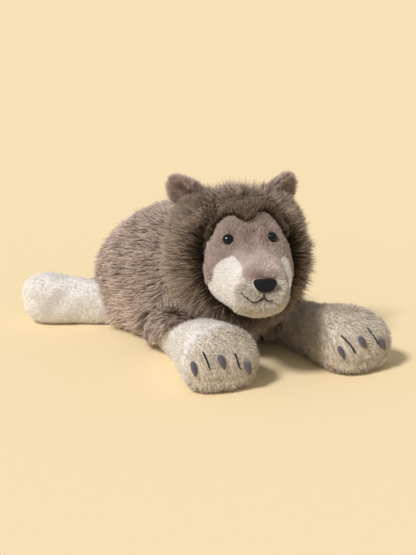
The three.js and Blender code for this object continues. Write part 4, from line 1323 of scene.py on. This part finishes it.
def makeForeleg(name, seed):
    body, place = "foreleg_" + name, forelegPlaces[name]
    grid = formGrid(forelegForm, legSkin, seed)
    crease = np.exp(-(((grid[..., 2] - pawCrease["height"]) / pawCrease["width"]) ** 2))
    crease = crease * ease(-grid[..., 1], *pawCrease["forward"])
    inward = unit(grid * np.array([1, 1, 0]) + np.array([0, 110, 0]))
    coat = {"grid": grid - pawCrease["depth"] * crease[..., None] * inward, "place": place, "body": body}
    backs = ["cream", "cheek", "beige", "brown"]
    covers = ["foreleg_sleeve_" + name, "paw_top_" + name, "paw_sole_" + name]
    leg = makeSkin("foreleg_skin_" + name, coat, backs, covers)

    def materialAt(points):
        sandy = pawReach(points, name)
        return np.where(rootReach(points, name) > 3, 3, (sandy > -13).astype(int) + (sandy > -5))

    paintZones(leg, place, materialAt)
    clawLines = [makeClaw(name, number, place) for number in (1, 2, 3)]
    paths = toePaths(name)
    for number, path in enumerate(paths, 1):
        end = name + "_" + str(number)
        thread = threadMesh("toe_thread_" + end, path, place, toeLook["thread"])
        finishMesh(thread, body, [stitchMaterials["black_thread"]], ["toe_stitch_" + end])

    def clearOf(points):
        # above 1 where a point is clear of the toe threads and the claws
        offClaws = nearest(points, clawLines) / clawLook["clear"]
        return np.minimum(nearest(points, paths) / toeLook["clear"], offClaws)

    def pawShare(points):
        return ease(pawReach(points, name) + 7 * ripple(points, 22, 71), -13, 7)

    def rootShare(points):
        return ease(rootReach(points, name) + 3 * ripple(points, 15, 73), -3, 3)

    def shortHaired(points):
        # the rest of the leg, off the floor
        return (1 - rootShare(points)) * (points[:, 2] > legSkin["floor"])

    def trim(roots):
        # shorter beside threads and claws, and in the crease round the paw's front
        offCrease = np.abs(roots[:, 2] - pawCrease["height"]) + 40 * (roots[:, 1] > -100)
        return (0.45 + 0.55 * ease(clearOf(roots), 1, 2.2)) * (0.45 + 0.55 * ease(offCrease, 0.5, 3.5))

    def keep(points):
        tips = intoPlace(points[-1], place)
        return ~growsOut(points, place, [(bodyForm, floorPlace)]) & ~inHead(tips, headBall["clearOfLegs"])

    common = {"comb": legComb, "trim": trim, "keep": keep}
    growPile("sleeve_pile_" + name, coat, "plush_cream", "cream", {
        **sleevePile, **common, "seed": seed + 1, "where": lambda p: (1 - pawShare(p)) * shortHaired(p),
    })
    growPile("paw_pile_" + name, coat, "curly_pile_beige", "paw", {
        **pawPile, **common, "seed": seed + 2,
        "where": lambda p: pawShare(p) * shortHaired(p) * (clearOf(p) > 0.9),
    })
    growPile("root_pile_" + name, coat, "long_pile_brown", "body", {
        **rootPile, "seed": seed + 3, "keep": keep, "where": lambda p: rootShare(p) * (p[:, 2] > 4),
    })


def footShare(points):
    # 1 on the top of the foot
    soft = 3 * ripple(points, 16, 83)
    ahead = ease(-points[..., 1] + soft, footLook["start"] - 4, footLook["start"] + 4)
    return ahead * ease(points[..., 2] + soft, footLook["seamHeight"] - 3, footLook["seamHeight"] + 3)


def makeHindleg(name, seed):
    place = hindlegPlaces[name]
    coat = {"grid": formGrid(hindlegForm, legSkin, seed), "place": place, "body": "hindleg_" + name}
    covers = ["hindleg_cover_" + name, "foot_top_" + name]
    makeSkin("hindleg_skin_" + name, coat, ["cream"], covers)
    common = {"comb": legComb, "keep": lambda points: ~growsOut(points, place, [(bodyForm, floorPlace)])}
    growPile("hindleg_pile_" + name, coat, "plush_cream", "cream", {
        **hindlegPile, **common, "seed": seed + 1,
        "where": lambda p: (1 - footShare(p)) * (p[:, 2] > legSkin["floor"]),
    })
    growPile("foot_pile_" + name, coat, "curly_pile_beige", "cream", {
        **footPile, **common, "seed": seed + 2, "where": footShare,
    })


tailSkin = {"inset": 3.5, "rows": 32, "around": 48, "lump": 0.5}


def makeTail():
    coat = {"grid": formGrid(tailForm, tailSkin, 5), "place": tailPlace, "body": "tail"}
    makeSkin("tail_skin", coat, ["brown"], ["tail_cover"])
    growPile("tail_pile", coat, "long_pile_brown", "body", {
        "count": 12000, "length": 15, "width": 0.8, "steps": 3, "rises": (0.6, 0.2), "spread": 0.18,
        "tuft": 6.0, "tufting": 0.4, "seed": 401, "tone": mottled(0.5, 0.14, 30, 101),
        "where": lambda points: points[:, 2] > legSkin["floor"],
        "comb": lambda roots: np.array([0, -1.0, -0.15]) + roots * np.array([0.01, 0, 0]),
    })
    print("legs and tail made")


# What is inside, and the neck's gusset: the solids themselves, finished

def dressInside():
    fibre = backingMaterial("stuffing_fibre", (0.78, 0.76, 0.72), (0.92, 0.91, 0.88), 220.0, 0.98, 1.0)
    pouch = backingMaterial("pellet_cloth", (0.45, 0.42, 0.37), (0.60, 0.57, 0.51), 600.0, 0.9, 0.9)
    moulded = backingMaterial("washer_plastic", (0.70, 0.70, 0.68), (0.80, 0.80, 0.78), 300.0, 0.45, 0.1)
    finishes = {
        "stuffing": fibre, "pellet_pouch": pouch, "eye_washer": moulded,
        "neck_gusset": stitchMaterials["gusset_knit"],
    }
    for name, node in nodes.items():
        for part, material in finishes.items():
            if part in name:
                node.data.materials.clear()
                node.data.materials.append(material)


# Floor, light and camera

stageLook = {
    "floor": (0.86, 0.69, 0.43), "backdrop": (0.92, 0.73, 0.46), "world": 0.42, "reach": 40.0,
    "sun": 2.75, "sunAngle": 12, "sunAzimuth": -86, "sunElevation": 50,
}
cameraLook = {
    "azimuth": -35.23, "elevation": 16.26, "distance": 1.400, "aim": (0.0229, -0.0177, 0.0537), "lens": 77.2,
}


def direction(azimuth, elevation):
    # from the object towards a viewer; azimuth 0 is in front of it
    a, e = math.radians(azimuth), math.radians(elevation)
    return np.array([math.sin(a) * math.cos(e), -math.cos(a) * math.cos(e), math.sin(e)])


def aimed(obj, away):
    # turns an object so that its -Z looks against the given direction
    obj.rotation_euler = Vector(away.tolist()).to_track_quat("Z", "Y").to_euler()


def makeStage():
    floor = bpy.data.objects.new("floor", bpy.data.meshes.new("floor"))
    reach = stageLook["reach"]
    corners = [(-reach, -reach, 0), (reach, -reach, 0), (reach, reach, 0), (-reach, reach, 0)]
    floor.data.from_pydata(corners, [], [(0, 1, 2, 3)])
    floor.data.materials.append(newMaterial("pale_floor", stageLook["floor"], 0.9, Specular_IOR_Level=0.0)[0])
    bpy.context.scene.collection.objects.link(floor)

    # the world lights the object white and shows the camera the backdrop's colour
    world = bpy.data.worlds.new("studio")
    bpy.context.scene.world = world
    world.use_nodes = True
    tree = world.node_tree
    light = tree.nodes["Background"]
    light.inputs["Color"].default_value = (1, 1, 1, 1)
    light.inputs["Strength"].default_value = stageLook["world"]
    seen = add(tree, "ShaderNodeBackground", Color=(*stageLook["backdrop"], 1), Strength=1.0)
    path = tree.nodes.new("ShaderNodeLightPath")
    mix = tree.nodes.new("ShaderNodeMixShader")
    wire(
        tree, (path.outputs["Is Camera Ray"], mix.inputs[0]), (light.outputs[0], mix.inputs[1]),
        (seen.outputs[0], mix.inputs[2]), (mix.outputs[0], tree.nodes["World Output"].inputs["Surface"]),
    )

    sun = bpy.data.objects.new("sun", bpy.data.lights.new("sun", "SUN"))
    sun.data.energy = stageLook["sun"]
    sun.data.angle = math.radians(stageLook["sunAngle"])
    aimed(sun, direction(stageLook["sunAzimuth"], stageLook["sunElevation"]))
    bpy.context.scene.collection.objects.link(sun)


def makeCamera():
    camera = bpy.data.objects.new("camera", bpy.data.cameras.new("camera"))
    away = direction(cameraLook["azimuth"], cameraLook["elevation"])
    camera.location = np.array(cameraLook["aim"]) + cameraLook["distance"] * away
    aimed(camera, away)
    camera.data.sensor_fit = "VERTICAL"
    camera.data.sensor_height = 36
    camera.data.lens = cameraLook["lens"]
    camera.data.clip_end = 100
    bpy.context.scene.collection.objects.link(camera)
    bpy.context.scene.camera = camera


makeBody()
makeHood()
makeFace()
makeEyes()
makeNose()
makeMouth()
makeEars()
for seed, legName in ((503, "left"), (541, "right")):
    makeForeleg(legName, seed)
    makeHindleg(legName, seed + 100)
makeTail()
dressInside()
makeStage()
makeCamera()
bpy.context.scene.view_settings.view_transform = "Standard"
print("stage and camera made")
